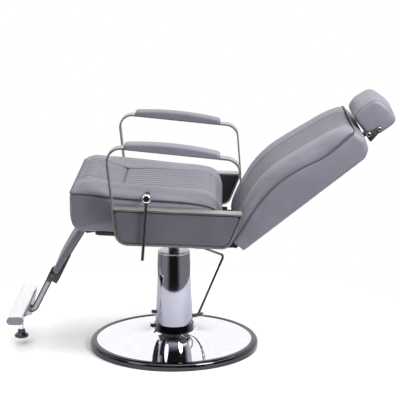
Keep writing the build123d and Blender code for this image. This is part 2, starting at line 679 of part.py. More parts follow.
panel_inner_x = ARM_INNER_X + PANEL_BOARD_THICKNESS

with BuildPart() as side_panel:
    with BuildSketch(side_plane(panel_inner_x)):
        add(panel_outline.sketch_local)
    extrude(amount=PANEL_OUTER_X - panel_inner_x)
    fillet(faces().sort_by(Axis.X)[-1].edges(), PANEL_EDGE_RADIUS)
save_pair(side_panel, "side_panel")


# ---------------------------------------------------------------- recline lever

handle_top = Vector(HANDLE_X, HUB_Y, HUB_Z)
handle_tip = Vector(HANDLE_X, HANDLE_TIP_Y, HANDLE_TIP_Z)
handle_down = (handle_tip - handle_top).normalized()
handle_length = (handle_tip - handle_top).length

with BuildPart() as recline_rod:
    with BuildSketch(Plane(origin=handle_top, z_dir=handle_down)):
        Circle(HANDLE_RADIUS)
    extrude(amount=handle_length)
    with BuildSketch(Plane(origin=handle_top + handle_down * (HUB_RADIUS + 1), z_dir=handle_down)):
        Circle(HANDLE_RADIUS + 1.5)
    extrude(amount=6)
    fillet(edges().filter_by(GeomType.CIRCLE).sort_by_distance(handle_tip)[0], 3)
save(recline_rod, "recline_rod")

with BuildPart() as recline_hub:
    with BuildSketch(side_plane(HUB_INNER_X)):
        with Locations((HUB_Y, HUB_Z)):
            Circle(HUB_RADIUS)
    extrude(amount=HUB_OUTER_X - HUB_INNER_X)
    fillet(edges().group_by(Axis.X)[-1], 6)
    with BuildSketch(side_plane(BUSH_INNER_X)):
        with Locations((HUB_Y, HUB_Z)):
            Circle(HUB_SHAFT)
    extrude(amount=HUB_INNER_X - BUSH_INNER_X)
    add(recline_rod.part, mode=Mode.SUBTRACT)
save(recline_hub, "recline_hub")


# ---------------------------------------------------------------- recline hinge and gas spring

with BuildPart() as hinge_brackets:
    with BuildSketch(side_plane(BRACKET_X)):
        with Locations((hinge.Y, hinge.Z), (hinge.Y - 1, hinge.Z - 21)):
            Circle(11)
        make_hull()
        with Locations((hinge.Y, hinge.Z)):
            Circle(13)
        with Locations((RAIL_REAR, 420)):
            Rectangle(55, 18, align=Align.MIN)
        with Locations((hinge.Y, hinge.Z)):
            Circle(HINGE_PIN_RADIUS, mode=Mode.SUBTRACT)
    extrude(amount=BRACKET_THICKNESS)
    mirror(about=Plane.YZ)
save(hinge_brackets, "hinge_brackets")

with BuildPart() as hinge_pins:
    with BuildSketch(side_plane(BACK_TUBE_HALF - 24)):
        with Locations((hinge.Y, hinge.Z)):
            Circle(HINGE_PIN_RADIUS)
    extrude(amount=BRACKET_X + BRACKET_THICKNESS - BACK_TUBE_HALF + 24)
    with BuildSketch(side_plane(BRACKET_X + BRACKET_THICKNESS)):
        with Locations((hinge.Y, hinge.Z)):
            Circle(11)
    extrude(amount=3)
    mirror(about=Plane.YZ)
save(hinge_pins, "hinge_pins")

with BuildPart() as back_tube:
    with BuildSketch(side_plane(-BACK_TUBE_HALF)):
        with Locations((hinge.Y, hinge.Z)):
            Circle(BACK_TUBE_RADIUS)
    extrude(amount=2 * BACK_TUBE_HALF)
    with BuildSketch(side_plane(SPRING_X)):
        with Locations((hinge.Y, hinge.Z), (arm_pin.Y, arm_pin.Z)):
            Circle(10)
        make_hull()
    extrude(amount=SPRING_LEVER_THICKNESS / 2, both=True)
    with BuildSketch(side_plane(-BACK_TUBE_HALF)):
        with Locations((hinge.Y, hinge.Z)):
            Circle(HINGE_PIN_RADIUS + FIT)
    extrude(amount=2 * BACK_TUBE_HALF, mode=Mode.SUBTRACT)
    with BuildSketch(side_plane(SPRING_X)):
        with Locations((arm_pin.Y, arm_pin.Z)):
            Circle(SPRING_PIN)
    extrude(amount=FORK_GAP / 2 + FORK_THICKNESS, both=True)
save(back_tube, "back_tube")

with BuildPart() as gas_cylinder:
    with BuildSketch(Plane.XZ.offset(-SPRING_FRONT)):
        with Locations((SPRING_X, arm_pin.Z)):
            Circle(SPRING_RADIUS)
    extrude(amount=SPRING_FRONT - SPRING_END)
    with BuildSketch(Plane.XZ.offset(-SPRING_FRONT - 6)):
        with Locations((SPRING_X, arm_pin.Z)):
            Circle(SPRING_BORE)
    extrude(amount=SPRING_FRONT - SPRING_END + 12, mode=Mode.SUBTRACT)
    with BuildSketch(Plane.XZ.offset(-SPRING_END + 20)):
        with Locations((SPRING_X, arm_pin.Z)):
            Circle(SPRING_ROD + FIT)
    extrude(amount=-40, mode=Mode.SUBTRACT)
    with BuildSketch(side_plane(SPRING_X)):
        with Locations((SPRING_EYE_Y, arm_pin.Z)):
            Circle(8)
        with Locations(((SPRING_EYE_Y + SPRING_FRONT) / 2, arm_pin.Z)):
            Rectangle(SPRING_FRONT - SPRING_EYE_Y, 16)
    extrude(amount=eye_half, both=True)
    with BuildSketch(side_plane(SPRING_X)):
        with Locations((SPRING_EYE_Y, arm_pin.Z)):
            Circle(SPRING_PIN)
    extrude(amount=eye_half + eye_lug, both=True)
save(gas_cylinder, "gas_cylinder")

piston_y = SPRING_END - 85
fork_base_y = arm_pin.Y - 24

with BuildPart() as gas_rod:
    with BuildSketch(Plane.XZ.offset(-piston_y)):
        with Locations((SPRING_X, arm_pin.Z)):
            Circle(SPRING_BORE - FIT)
    extrude(amount=-10)
    with BuildSketch(Plane.XZ.offset(-piston_y)):
        with Locations((SPRING_X, arm_pin.Z)):
            Circle(SPRING_ROD)
    extrude(amount=piston_y - fork_base_y)
    with BuildSketch(side_plane(SPRING_X)):
        with Locations((fork_base_y, arm_pin.Z - 2)):
            Rectangle(36, FORK_HEIGHT + 4, align=(Align.MIN, Align.CENTER))
        with Locations((arm_pin.Y, arm_pin.Z - 1.75)):
            SlotCenterToCenter(8, 9, rotation=90, mode=Mode.SUBTRACT)
    extrude(amount=FORK_GAP / 2 + FORK_THICKNESS, both=True)
    with BuildSketch(side_plane(SPRING_X)):
        with Locations((fork_base_y + 8, arm_pin.Z - 2)):
            Rectangle(60, 40, align=(Align.MIN, Align.CENTER))
    extrude(amount=FORK_GAP / 2, both=True, mode=Mode.SUBTRACT)
save(gas_rod, "gas_rod")


# ---------------------------------------------------------------- back

# places up the back, each with the seam's and the padding's height over the shell's rear
BACK_PROFILE = [
    (-14, 46, 52), (40, 64, 92), (96, 85, 118), (150, 101, 138), (235, 113, 151),
    (320, 106, 145), (405, 89, 134), (488, 90, 121), (535, 94, 98),
]
SEAM = [(along, seam) for along, seam, crest in BACK_PROFILE]
SHELL_CORNERS, SHELL_CORNER_RADIUS = [(508, 0), (533, 16)], 12

with BuildPart() as hinge_clearance:
    with BuildSketch(side_plane(-BACK_TUBE_HALF - 1)):
        with Locations((hinge.Y, hinge.Z)):
            Circle(BACK_TUBE_RADIUS + 0.5)
    extrude(amount=2 * BACK_TUBE_HALF + 2)
    with BuildSketch(side_plane(BACK_TUBE_HALF + 1)):
        with Locations((hinge.Y, hinge.Z)):
            Circle(14.5)
    extrude(amount=15)
    with BuildSketch(back_plane(BRACKET_X - 2)):
        with Locations((-40, 14)):
            Rectangle(48, 48, align=Align.MIN)
    extrude(amount=BRACKET_THICKNESS + 4)
    mirror(about=Plane.YZ)
    with BuildSketch(back_plane(SPRING_X)):
        with Locations((-40, 14)):
            Rectangle(50, 48, align=Align.MIN)
    extrude(amount=FORK_GAP / 2, both=True)

with BuildPart() as back_shell:
    with BuildSketch(back_plane(-BACK_HALF_WIDTH)):
        with BuildLine():
            Spline(*SEAM)
            Polyline(SEAM[0], (-18, 43), (-9, 23), (-6, 0), *SHELL_CORNERS, (545, 51), SEAM[-1])
        make_face()
        for corner in SHELL_CORNERS:
            fillet(vertices().sort_by_distance(corner)[0], SHELL_CORNER_RADIUS)
    extrude(amount=2 * BACK_HALF_WIDTH)
    with BuildSketch(back_plane(-BACK_HALF_WIDTH + SHELL_WALL)):
        with BuildLine():
            Polyline((8, 10), (500, 10), (521, 24), (533, 60), (526, 200), (-5, 200), (-8, 46), close=True)
        make_face()
    extrude(amount=2 * (BACK_HALF_WIDTH - SHELL_WALL), mode=Mode.SUBTRACT)
    add(hinge_clearance.part, mode=Mode.SUBTRACT)
    with BuildSketch(back_plane(0)):
        with Locations((495, POST_BACK - GUIDE_WALL - 0.3)):
            Rectangle(80, POST_THICKNESS + 2 * GUIDE_WALL + 1, align=Align.MIN)
    extrude(amount=POST_HALF_WIDTH + GUIDE_WALL + 0.8, both=True, mode=Mode.SUBTRACT)
save(back_shell, "back_shell")

with BuildPart() as back_board:
    with BuildSketch(back_plane(-240)):
        with Locations((20, 34)):
            Rectangle(495, BOARD_THICKNESS, align=Align.MIN)
    extrude(amount=480)
save(back_board, "back_board")

bar_x, bar_sheet = 180.0, 6.0

with BuildPart() as back_bars:
    with BuildSketch(back_plane(bar_x)):
        with BuildLine():
            Polyline((9, 10), (480, 10), (480, 34), (16, 34), (12, 42), (-5, 42), (2, 25), close=True)
        make_face()
        with Locations((HINGE_ALONG, HINGE_OUT)):
            Circle(BACK_TUBE_RADIUS, mode=Mode.SUBTRACT)
    extrude(amount=bar_sheet)
    mirror(about=Plane.YZ)
save(back_bars, "back_bars")

guide_half = POST_HALF_WIDTH + 0.3
guide_back = POST_BACK - 0.3
guide_inside = POST_THICKNESS + 0.6

with BuildPart() as headrest_guide:
    with BuildSketch(back_plane(0)):
        with Locations((380, guide_back - GUIDE_WALL)):
            Rectangle(153, guide_inside + 2 * GUIDE_WALL, align=Align.MIN)
    extrude(amount=guide_half + GUIDE_WALL, both=True)
    with BuildSketch(back_plane(0)):
        with Locations((370, guide_back)):
            Rectangle(180, guide_inside, align=Align.MIN)
    extrude(amount=guide_half, both=True, mode=Mode.SUBTRACT)
save(headrest_guide, "headrest_guide")

crown_shoulder = 26.0
crown_sections = [
    (-BACK_HALF_WIDTH, 0.45), (-BACK_HALF_WIDTH + crown_shoulder, 1.0),
    (BACK_HALF_WIDTH - crown_shoulder, 1.0), (BACK_HALF_WIDTH, 0.45),
]

with BuildPart() as back_cushion:
    for section_x, fullness in crown_sections:
        crown = [(along, seam + fullness * (crest - seam)) for along, seam, crest in BACK_PROFILE]
        with BuildSketch(back_plane(section_x)):
            with BuildLine():
                Spline(*SEAM)
                Spline(*crown)
                Line(SEAM[0], crown[0])
                Line(SEAM[-1], crown[-1])
            make_face()
    loft(ruled=True)
    with BuildSketch(back_plane(-BACK_HALF_WIDTH + SHELL_WALL + 0.5)):
        with BuildLine():
            Spline(*SEAM)
            Polyline(SEAM[0], (-7, 46), (522, 46), (532, 62), SEAM[-1])
        make_face()
        with BuildLine():
            Polyline((-40, 0), (5, 0), (5, 140), (-40, 140), close=True)
        make_face(mode=Mode.SUBTRACT)
    extrude(amount=2 * (BACK_HALF_WIDTH - SHELL_WALL) - 1)
    add(hinge_clearance.part, mode=Mode.SUBTRACT)
    add(back_shell.part, mode=Mode.SUBTRACT)
save(back_cushion, "back_cushion")


# ---------------------------------------------------------------- headrest

ear_inner = HEADREST_HALF_WIDTH + EAR_GAP
ear_outer = ear_inner + EAR_THICKNESS

with BuildPart() as headrest_post:
    with BuildSketch(back_plane(0)):
        with Locations((400, POST_BACK)):
            Rectangle(148, POST_THICKNESS, align=Align.MIN)
    extrude(amount=POST_HALF_WIDTH, both=True)
    with BuildSketch(back_plane(0)):
        with Locations((547, 10)):
            Rectangle(8, 12, align=Align.MIN)
    extrude(amount=ear_outer, both=True)
    for ear_x in (ear_inner, -ear_outer):
        with BuildSketch(back_plane(ear_x)):
            with Locations((553, 16)):
                Circle(6)
            with Locations((HEADREST_PIVOT[0] - 1, HEADREST_PIVOT[1] - 3)):
                Circle(10)
            with Locations(HEADREST_CLAMP):
                Circle(9)
            make_hull()
            with Locations(HEADREST_PIVOT, HEADREST_CLAMP):
                Circle(3, mode=Mode.SUBTRACT)
        extrude(amount=EAR_THICKNESS)
save(headrest_post, "headrest_post")

with BuildPart() as headrest_cushion:
    with BuildSketch(back_plane(-HEADREST_HALF_WIDTH)):
        with BuildLine():
            FilletPolyline(
                (549, 42), (549, 112), (590, 124), (658, 116), (672, 60), (665, 3), (590, 5), (556, 24),
                radius=[6, 14, 60, 28, 60, 20, 12, 8], close=True,
            )
        make_face()
    extrude(amount=2 * HEADREST_HALF_WIDTH)
    fillet(faces().filter_by(Axis.X).edges(), 5)
    with BuildSketch(back_plane(-HEADREST_HALF_WIDTH)):
        with Locations(HEADREST_PIVOT):
            Circle(3)
    extrude(amount=14, mode=Mode.SUBTRACT)
    with BuildSketch(back_plane(HEADREST_HALF_WIDTH)):
        with Locations(HEADREST_PIVOT):
            Circle(3)
    extrude(amount=-14, mode=Mode.SUBTRACT)
save(headrest_cushion, "headrest_cushion")

with BuildPart() as headrest_pivot_screws:
    with BuildSketch(back_plane(HEADREST_HALF_WIDTH - 14)):
        with Locations(HEADREST_PIVOT):
            Circle(3 - FIT)
    extrude(amount=14 + EAR_GAP + EAR_THICKNESS)
    with BuildSketch(back_plane(ear_outer)):
        with Locations(HEADREST_PIVOT):
            Circle(7)
    extrude(amount=4)
    fillet(edges().group_by(Axis.X)[-1], 2)
    mirror(about=Plane.YZ)
save(headrest_pivot_screws, "headrest_pivot_screws")

with BuildPart() as headrest_clamp_screws:
    with BuildSketch(back_plane(ear_inner)):
        with Locations(HEADREST_CLAMP):
            Circle(3)
    extrude(amount=EAR_THICKNESS)
    with BuildSketch(back_plane(ear_outer)):
        with Locations(HEADREST_CLAMP):
            Circle(7)
    extrude(amount=4)
    fillet(edges().group_by(Axis.X)[-1], 2)
    mirror(about=Plane.YZ)
save(headrest_clamp_screws, "headrest_clamp_screws")


# ---------------------------------------------------------------- leg rest

with BuildPart() as leg_hinge_bracket:
    with BuildSketch(side_plane(LEG_BRACKET_X)):
        with Locations((LEG_HINGE_Y, LEG_HINGE_Z)):
            Circle(6.8)
        with Locations((-243, 444)):
            Circle(6.5)
        make_hull()
    extrude(amount=BRACKET_THICKNESS)
    mirror(about=Plane.YZ)
    tube_face = seat_plane(TUBE_BOTTOM).from_local_coords((0, RAIL_FRONT - TUBE, 0))
    split(bisect_by=Plane(origin=tube_face, z_dir=seat_plane(0).y_dir * -1), keep=Keep.TOP)
    with BuildSketch(side_plane(0)):
        with Locations((LEG_HINGE_Y, LEG_HINGE_Z)):
            Circle(LEG_PIN)
    extrude(amount=LEG_BRACKET_X + BRACKET_THICKNESS, both=True)
save(leg_hinge_bracket, "leg_hinge_bracket")

with BuildPart() as leg_pad:
    with BuildSketch(leg_plane(LEG_HALF_WIDTH)):
        with BuildLine():
            Polyline(
                (LEG_TOP, LEG_PAD_THICKNESS - 5), (LEG_TOP, 0),
                (LEG_BOTTOM, 0), (LEG_BOTTOM, LEG_PAD_THICKNESS - 5),
            )
            ThreePointArc(
                (LEG_BOTTOM, LEG_PAD_THICKNESS - 5),
                ((LEG_TOP + LEG_BOTTOM) / 2, LEG_PAD_THICKNESS), (LEG_TOP, LEG_PAD_THICKNESS - 5),
            )
        make_face()
        fillet(vertices(), 6)
    extrude(amount=2 * LEG_HALF_WIDTH)
    fillet(faces().filter_by(Axis.X).edges(), 5)
save(leg_pad, "leg_pad")

lug_half = ARM_HALF_THICKNESS + 1
lug_sheet = 4.0

with BuildPart() as leg_plate:
    with BuildSketch(leg_plane(120)):
        with Locations((-15, -LEG_SHEET)):
            Rectangle(193, LEG_SHEET, align=Align.MIN)
    extrude(amount=240)
    for knuckle_x in (KNUCKLE_OUTER_X, -KNUCKLE_INNER_X):
        with BuildSketch(leg_plane(knuckle_x)):
            with Locations((0, -LEG_HINGE_OFFSET)):
                Circle(KNUCKLE_RADIUS)
            with Locations((0, -LEG_SHEET)):
                Rectangle(10, LEG_HINGE_OFFSET - LEG_SHEET, align=(Align.CENTER, Align.MAX))
            with Locations((0, -LEG_HINGE_OFFSET)):
                Circle(LEG_PIN + FIT, mode=Mode.SUBTRACT)
        extrude(amount=KNUCKLE_OUTER_X - KNUCKLE_INNER_X)
    for lug_x in (lug_half + lug_sheet, -lug_half):
        with BuildSketch(leg_plane(lug_x)):
            with BuildLine():
                FilletPolyline(
                    (130, -LEG_SHEET), (183, -LEG_SHEET), (196, 18), (233, 18), (244, 2), (244, -21),
                    (222, -21), (130, -11), radius=[0, 0, 8, 8, 4, 0, 0, 0], close=True,
                )
            make_face()
            with Locations((FLIP_ALONG, FLIP_OUT)):
                Circle(FLIP_BOLT, mode=Mode.SUBTRACT)
        extrude(amount=lug_sheet)
    with BuildSketch(leg_plane(lug_half)):
        with Locations((232, -21)):
            Rectangle(12, 3.5, align=Align.MIN)
    extrude(amount=2 * lug_half)
save(leg_plate, "leg_plate")

with BuildPart() as footrest_bolt:
    with BuildSketch(leg_plane(lug_half + lug_sheet)):
        with Locations((FLIP_ALONG, FLIP_OUT)):
            Circle(FLIP_BOLT)
    extrude(amount=2 * (lug_half + lug_sheet))
    with BuildSketch(leg_plane(lug_half + lug_sheet)):
        with Locations((FLIP_ALONG, FLIP_OUT)):
            Circle(8)
    extrude(amount=-4)
    with BuildSketch(leg_plane(-lug_half - lug_sheet)):
        with Locations((FLIP_ALONG, FLIP_OUT)):
            RegularPolygon(8.5, 6)
    extrude(amount=5)
save(footrest_bolt, "footrest_bolt")


# ---------------------------------------------------------------- footrest

flip_centre = leg_plane(0).from_local_coords((FLIP_ALONG, FLIP_OUT))

with BuildPart() as footplate:
    with BuildSketch(side_plane(-FOOTPLATE_HALF_LENGTH)):
        with Locations((FOOTPLATE_Y, FOOTPLATE_Z)):
            SlotOverall(FOOTPLATE_DEPTH, FOOTPLATE_HEIGHT)
            offset(amount=-FOOTPLATE_WALL, mode=Mode.SUBTRACT)
    extrude(amount=2 * FOOTPLATE_HALF_LENGTH)
save(footplate, "footplate")

with BuildPart() as footplate_caps:
    with BuildSketch(side_plane(FOOTPLATE_HALF_LENGTH)):
        with Locations((FOOTPLATE_Y, FOOTPLATE_Z)):
            SlotOverall(FOOTPLATE_DEPTH, FOOTPLATE_HEIGHT)
    extrude(amount=4)
    fillet(edges().group_by(Axis.X)[-1], 2)
    with BuildSketch(side_plane(FOOTPLATE_HALF_LENGTH)):
        with Locations((FOOTPLATE_Y, FOOTPLATE_Z)):
            SlotOverall(FOOTPLATE_DEPTH - 2 * FOOTPLATE_WALL, FOOTPLATE_HEIGHT - 2 * FOOTPLATE_WALL)
    extrude(amount=-12)
    mirror(about=Plane.YZ)
save(footplate_caps, "footplate_caps")

with BuildPart() as plate_space:
    with BuildSketch(side_plane(-FOOTPLATE_HALF_LENGTH)):
        with Locations((FOOTPLATE_Y, FOOTPLATE_Z)):
            SlotOverall(FOOTPLATE_DEPTH, FOOTPLATE_HEIGHT)
    extrude(amount=2 * FOOTPLATE_HALF_LENGTH)

with BuildPart() as arm_blank:
    with BuildSketch(side_plane(-ARM_HALF_THICKNESS)):
        with BuildLine():
            FilletPolyline(ARM_TOP, ARM_ELBOW, ARM_TOE, radius=ARM_BEND)
        trace(line_width=ARM_WIDTH)
        with Locations(ARM_TOP, ARM_TOE):
            Circle(ARM_WIDTH / 2)
    extrude(amount=2 * ARM_HALF_THICKNESS)

with BuildPart() as footrest_arm:
    add(arm_blank.part)
    for face_x in (ARM_HALF_THICKNESS, -ARM_HALF_THICKNESS):
        with BuildSketch(side_plane(face_x)):
            with BuildLine():
                FilletPolyline((-446, 231), ARM_ELBOW, (-548, 121), radius=ARM_BEND)
            trace(line_width=ARM_WIDTH - 9)
        extrude(amount=1.5, both=True, mode=Mode.SUBTRACT)
    add(plate_space.part, mode=Mode.SUBTRACT)
    with BuildSketch(side_plane(-ARM_HALF_THICKNESS)):
        with Locations((flip_centre.Y, flip_centre.Z)):
            Circle(FLIP_BOLT + FIT)
    extrude(amount=2 * ARM_HALF_THICKNESS, mode=Mode.SUBTRACT)
save(footrest_arm, "footrest_arm")

wing_y = FOOTPLATE_Y + FOOTPLATE_DEPTH / 2

with BuildPart() as footrest_wings:
    with BuildSketch(Plane.XZ.offset(-wing_y)):
        with BuildLine():
            Polyline(
                (-WING_HALF_LENGTH, 157), (WING_HALF_LENGTH, 157), (WING_HALF_LENGTH, 151),
                (14, 110), (-14, 110), (-WING_HALF_LENGTH, 151), close=True,
            )
        make_face()
    extrude(amount=-WING_SHEET)
    add(footrest_arm.part, mode=Mode.SUBTRACT)
save(footrest_wings, "footrest_wings")

with BuildPart() as footrest_bumper:
    with BuildSketch(leg_plane(ARM_HALF_THICKNESS)):
        with Locations((226, -17.3)):
            Rectangle(15, 17, align=Align.MIN)
    extrude(amount=2 * ARM_HALF_THICKNESS)
    add(arm_blank.part, mode=Mode.SUBTRACT)
save(footrest_bumper, "footrest_bumper")

with BuildPart() as foot_post:
    with BuildSketch(Plane.XY.offset(POST_BOTTOM)):
        with Locations((0, POST_Y)):
            Circle(POST_RADIUS)
    extrude(amount=75)
    add(arm_blank.part, mode=Mode.SUBTRACT)
save(foot_post, "foot_post")

with BuildPart() as rubber_foot:
    with BuildSketch(Plane(origin=(0, POST_Y, 0), x_dir=(1, 0, 0), z_dir=(0, -1, 0))):
        with BuildLine():
            FilletPolyline(
                (0, FOOT_BOTTOM), (24, FOOT_BOTTOM), (26, 32), (14, 42), (12.5, 54), (0, 54),
                radius=[0, 2, 4, 6, 2, 0], close=True,
            )
        make_face()
    revolve(axis=Axis((0, POST_Y, 0), (0, 0, 1)))
    with BuildSketch(Plane.XY.offset(POST_BOTTOM)):
        with Locations((0, POST_Y)):
            Circle(POST_RADIUS)
    extrude(amount=30, mode=Mode.SUBTRACT)
save(rubber_foot, "rubber_foot")
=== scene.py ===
"""Looks of the hydraulic barber chair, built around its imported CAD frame.

All lengths are in metres, in the frame's axes: +Z up, the chair faces -Y and the
sitter's left is +X. The upholstery is made here; the metalwork is the CAD's own.
"""

import json
from math import cos, pi, radians, sin

import bmesh
import bpy
import numpy as np
from mathutils import Matrix, Vector


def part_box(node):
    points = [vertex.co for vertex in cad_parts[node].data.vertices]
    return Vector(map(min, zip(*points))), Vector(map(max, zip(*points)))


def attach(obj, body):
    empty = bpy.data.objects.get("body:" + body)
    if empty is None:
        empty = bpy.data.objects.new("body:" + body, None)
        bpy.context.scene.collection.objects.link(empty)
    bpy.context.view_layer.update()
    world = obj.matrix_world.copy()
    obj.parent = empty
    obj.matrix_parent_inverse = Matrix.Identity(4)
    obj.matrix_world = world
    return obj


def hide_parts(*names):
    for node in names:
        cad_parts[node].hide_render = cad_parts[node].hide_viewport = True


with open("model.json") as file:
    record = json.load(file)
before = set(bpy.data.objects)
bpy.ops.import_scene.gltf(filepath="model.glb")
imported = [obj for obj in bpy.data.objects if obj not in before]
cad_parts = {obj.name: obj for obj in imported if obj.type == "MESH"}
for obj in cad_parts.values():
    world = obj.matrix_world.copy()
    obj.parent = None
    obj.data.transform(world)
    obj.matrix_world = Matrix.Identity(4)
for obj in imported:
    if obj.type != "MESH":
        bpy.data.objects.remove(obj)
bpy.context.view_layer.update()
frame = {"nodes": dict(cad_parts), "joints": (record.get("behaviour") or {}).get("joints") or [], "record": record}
joints = {joint["name"]: joint for joint in frame["joints"]}


# ---------------------------------------------------------------- driving values

CAMERA_AZIMUTH, CAMERA_ELEVATION = radians(90.8058), radians(12.8576)
CAMERA_PLACE = (5.0453, 0.1634, 1.6804)
CAMERA_LENS = 132.9

# upholstery: colour, painted shade in the seams, remesh size, piping, and how far each form swells or rounds
LEATHER = (0.165, 0.164, 0.200)
SEAM_PAINTED_SHADE = 0.10
VOXEL = 0.005
PIPING_RADIUS = 0.0028
CHANNEL_DEPTH = 0.0085
SEAT_SWELL, BACK_SWELL, HEADREST_SWELL = 0.004, 0.004, 0.005
SIDE_ROUND = 0.010
HEADREST_EDGE = 0.017
SHELL_CROWN = 0.004
PANEL_FILL = 0.003

# seat: edge piping, bolster crest and centre panel, each as (y, z)
SEAT_EDGE = [
    (-0.334, 0.616), (-0.267, 0.612), (-0.204, 0.604), (-0.135, 0.598), (-0.003, 0.590),
    (0.063, 0.584), (0.113, 0.575), (0.140, 0.566), (0.158, 0.552), (0.167, 0.535),
]
SEAT_BOLSTER = [
    (-0.334, 0.617), (-0.329, 0.629), (-0.305, 0.640), (-0.25, 0.637), (-0.15, 0.629),
    (-0.08, 0.621), (0.02, 0.609), (0.10, 0.601), (0.138, 0.592), (0.158, 0.574), (0.167, 0.545),
]
SEAT_CENTRE = [
    (-0.334, 0.617), (-0.329, 0.632), (-0.309, 0.645), (-0.262, 0.643), (-0.205, 0.622),
    (-0.168, 0.608), (-0.089, 0.608), (0.019, 0.602), (0.10, 0.597), (0.138, 0.588),
    (0.158, 0.572), (0.167, 0.545),
]
SEAT_PANEL, SEAT_CREST_X = 0.152, 0.208
SEAT_CHANNELS = 9
SEAT_CROSS_SEAM = -0.168
SEAT_UNDERSIDE, SEAT_SLOPE = 0.470, 0.0419
SEAT_TOE_CURVE, SEAT_HEEL_CURVE = 0.034, 0.014
SEAT_CROSS_DEPTH = 0.005

# back: places up it, each with its seam's and its crest's height over the shell's rear
BACK_PROFILE = [
    (-0.014, 0.046, 0.052), (0.005, 0.051, 0.070), (0.040, 0.064, 0.092), (0.096, 0.085, 0.118),
    (0.150, 0.101, 0.138), (0.235, 0.113, 0.151), (0.320, 0.106, 0.145), (0.405, 0.089, 0.134),
    (0.470, 0.089, 0.124), (0.505, 0.091, 0.113), (0.526, 0.093, 0.102), (0.535, 0.094, 0.095),
]
BACK_PANEL, BACK_CREST_X = 0.130, 0.190
BACK_CHANNELS = 7
BACK_START, BACK_END = BACK_PROFILE[0][0], BACK_PROFILE[-1][0]
# how deep the cushion's underside lies in the shell, and how the top corners round off
BACK_SINK, BACK_TUCK = 0.025, 0.014
BACK_CORNER, BACK_CORNER_DROP, BACK_ROUNDED = 0.035, 0.009, (0.40, BACK_END)
# the recline axis, up the back and out from the shell's rear
HINGE_ALONG, HINGE_OUT = -0.003, 0.047

# footrest arm's recesses: path in (y, z), bend radius, width and the strip's two faces in x
INSET_PATH = [(-0.445, 0.233), (-0.497, 0.131), (-0.520, 0.1264)]
INSET_BEND, INSET_WIDTH, INSET_LEVELS = 0.022, 0.0115, (0.0064, 0.0072)

# studio: lamps as name, place, width and power, and the dark room's half angles
LAMPS = [("window", (1.3, 1.5, 1.9), 1.0, 58), ("left", (1.6, -2.2, 2.0), 1.4, 20)]
OVERHEAD = 1.75
FLOOR_RADIUS = 1.05
DARK_FLOOR, DARK_ROOM = (radians(22), radians(54)), (radians(75), radians(115))


# ---------------------------------------------------------------- frames and curves

recline = joints["back_recline"]
up_back = Vector(joints["headrest_height"]["axis"]).normalized()
out_back = Vector((1, 0, 0)).cross(up_back)
back_origin = Vector(recline["pos_m"]) - up_back * HINGE_ALONG - out_back * HINGE_OUT


def on_back(x, along, out):
    """World point at x, so far up the back and so far out from its rear face."""
    return back_origin + up_back * along + out_back * out + Vector((x, 0, 0))


def smooth_curve(points, at):
    """Height of a smooth curve through (place, height) points, at given places."""
    places = np.array([p[0] for p in points], float)
    heights = np.array([p[1] for p in points], float)
    slopes = np.gradient(heights, places)
    at = np.clip(np.asarray(at, float), places[0], places[-1])
    i = np.clip(np.searchsorted(places, at) - 1, 0, len(places) - 2)
    span = places[i + 1] - places[i]
    t = (at - places[i]) / span
    a = (1 + 2 * t) * (1 - t) ** 2
    b = t * (1 - t) ** 2
    c = t * t * (3 - 2 * t)
    d = t * t * (t - 1)
    return a * heights[i] + b * span * slopes[i] + c * heights[i + 1] + d * span * slopes[i + 1]


def ease(low, high, value):
    """0 below low, 1 above high and a smooth step between."""
    t = np.clip((np.asarray(value, float) - low) / (high - low), 0, 1)
    return t * t * (3 - 2 * t)


# ---------------------------------------------------------------- materials

def new_material(name):
    material = bpy.data.materials.new(name)
    material.use_nodes = True
    nodes = material.node_tree.nodes
    return material, nodes, material.node_tree.links, nodes["Principled BSDF"]


def object_noise(nodes, links, scale, detail=4.0, stretch=(1, 1, 1)):
    """Noise in the piece's own coordinates, stretched along its axes."""
    place = nodes.new("ShaderNodeTexCoord")
    mapping = nodes.new("ShaderNodeMapping")
    mapping.inputs["Scale"].default_value = stretch
    noise = nodes.new("ShaderNodeTexNoise")
    noise.inputs["Scale"].default_value = scale
    noise.inputs["Detail"].default_value = detail
    links.new(place.outputs["Object"], mapping.inputs["Vector"])
    links.new(mapping.outputs["Vector"], noise.inputs["Vector"])
    return noise


def spread(nodes, links, source, low, high):
    """Map a 0 to 1 value to a range."""
    ramp = nodes.new("ShaderNodeMapRange")
    ramp.inputs["From Min"].default_value = 0.3
    ramp.inputs["From Max"].default_value = 0.7
    ramp.inputs["To Min"].default_value = low
    ramp.inputs["To Max"].default_value = high
    links.new(source, ramp.inputs["Value"])
    return ramp.outputs["Result"]


def bump(nodes, links, source, strength, distance, before=None):
    node = nodes.new("ShaderNodeBump")
    node.inputs["Strength"].default_value = strength
    node.inputs["Distance"].default_value = distance
    links.new(source, node.inputs["Height"])
    if before is not None:
        links.new(before.outputs["Normal"], node.inputs["Normal"])
    return node


def two_tone(nodes, links, source, dark, light):
    """Mix two colours by a 0 to 1 value."""
    mix = nodes.new("ShaderNodeMix")
    mix.data_type = "RGBA"
    mix.inputs["A"].default_value = (*dark, 1)
    mix.inputs["B"].default_value = (*light, 1)
    links.new(source, mix.inputs["Factor"])
    return mix.outputs["Result"]


def scaled(colour, factor):
    return tuple(min(1.0, channel * factor) for channel in colour)


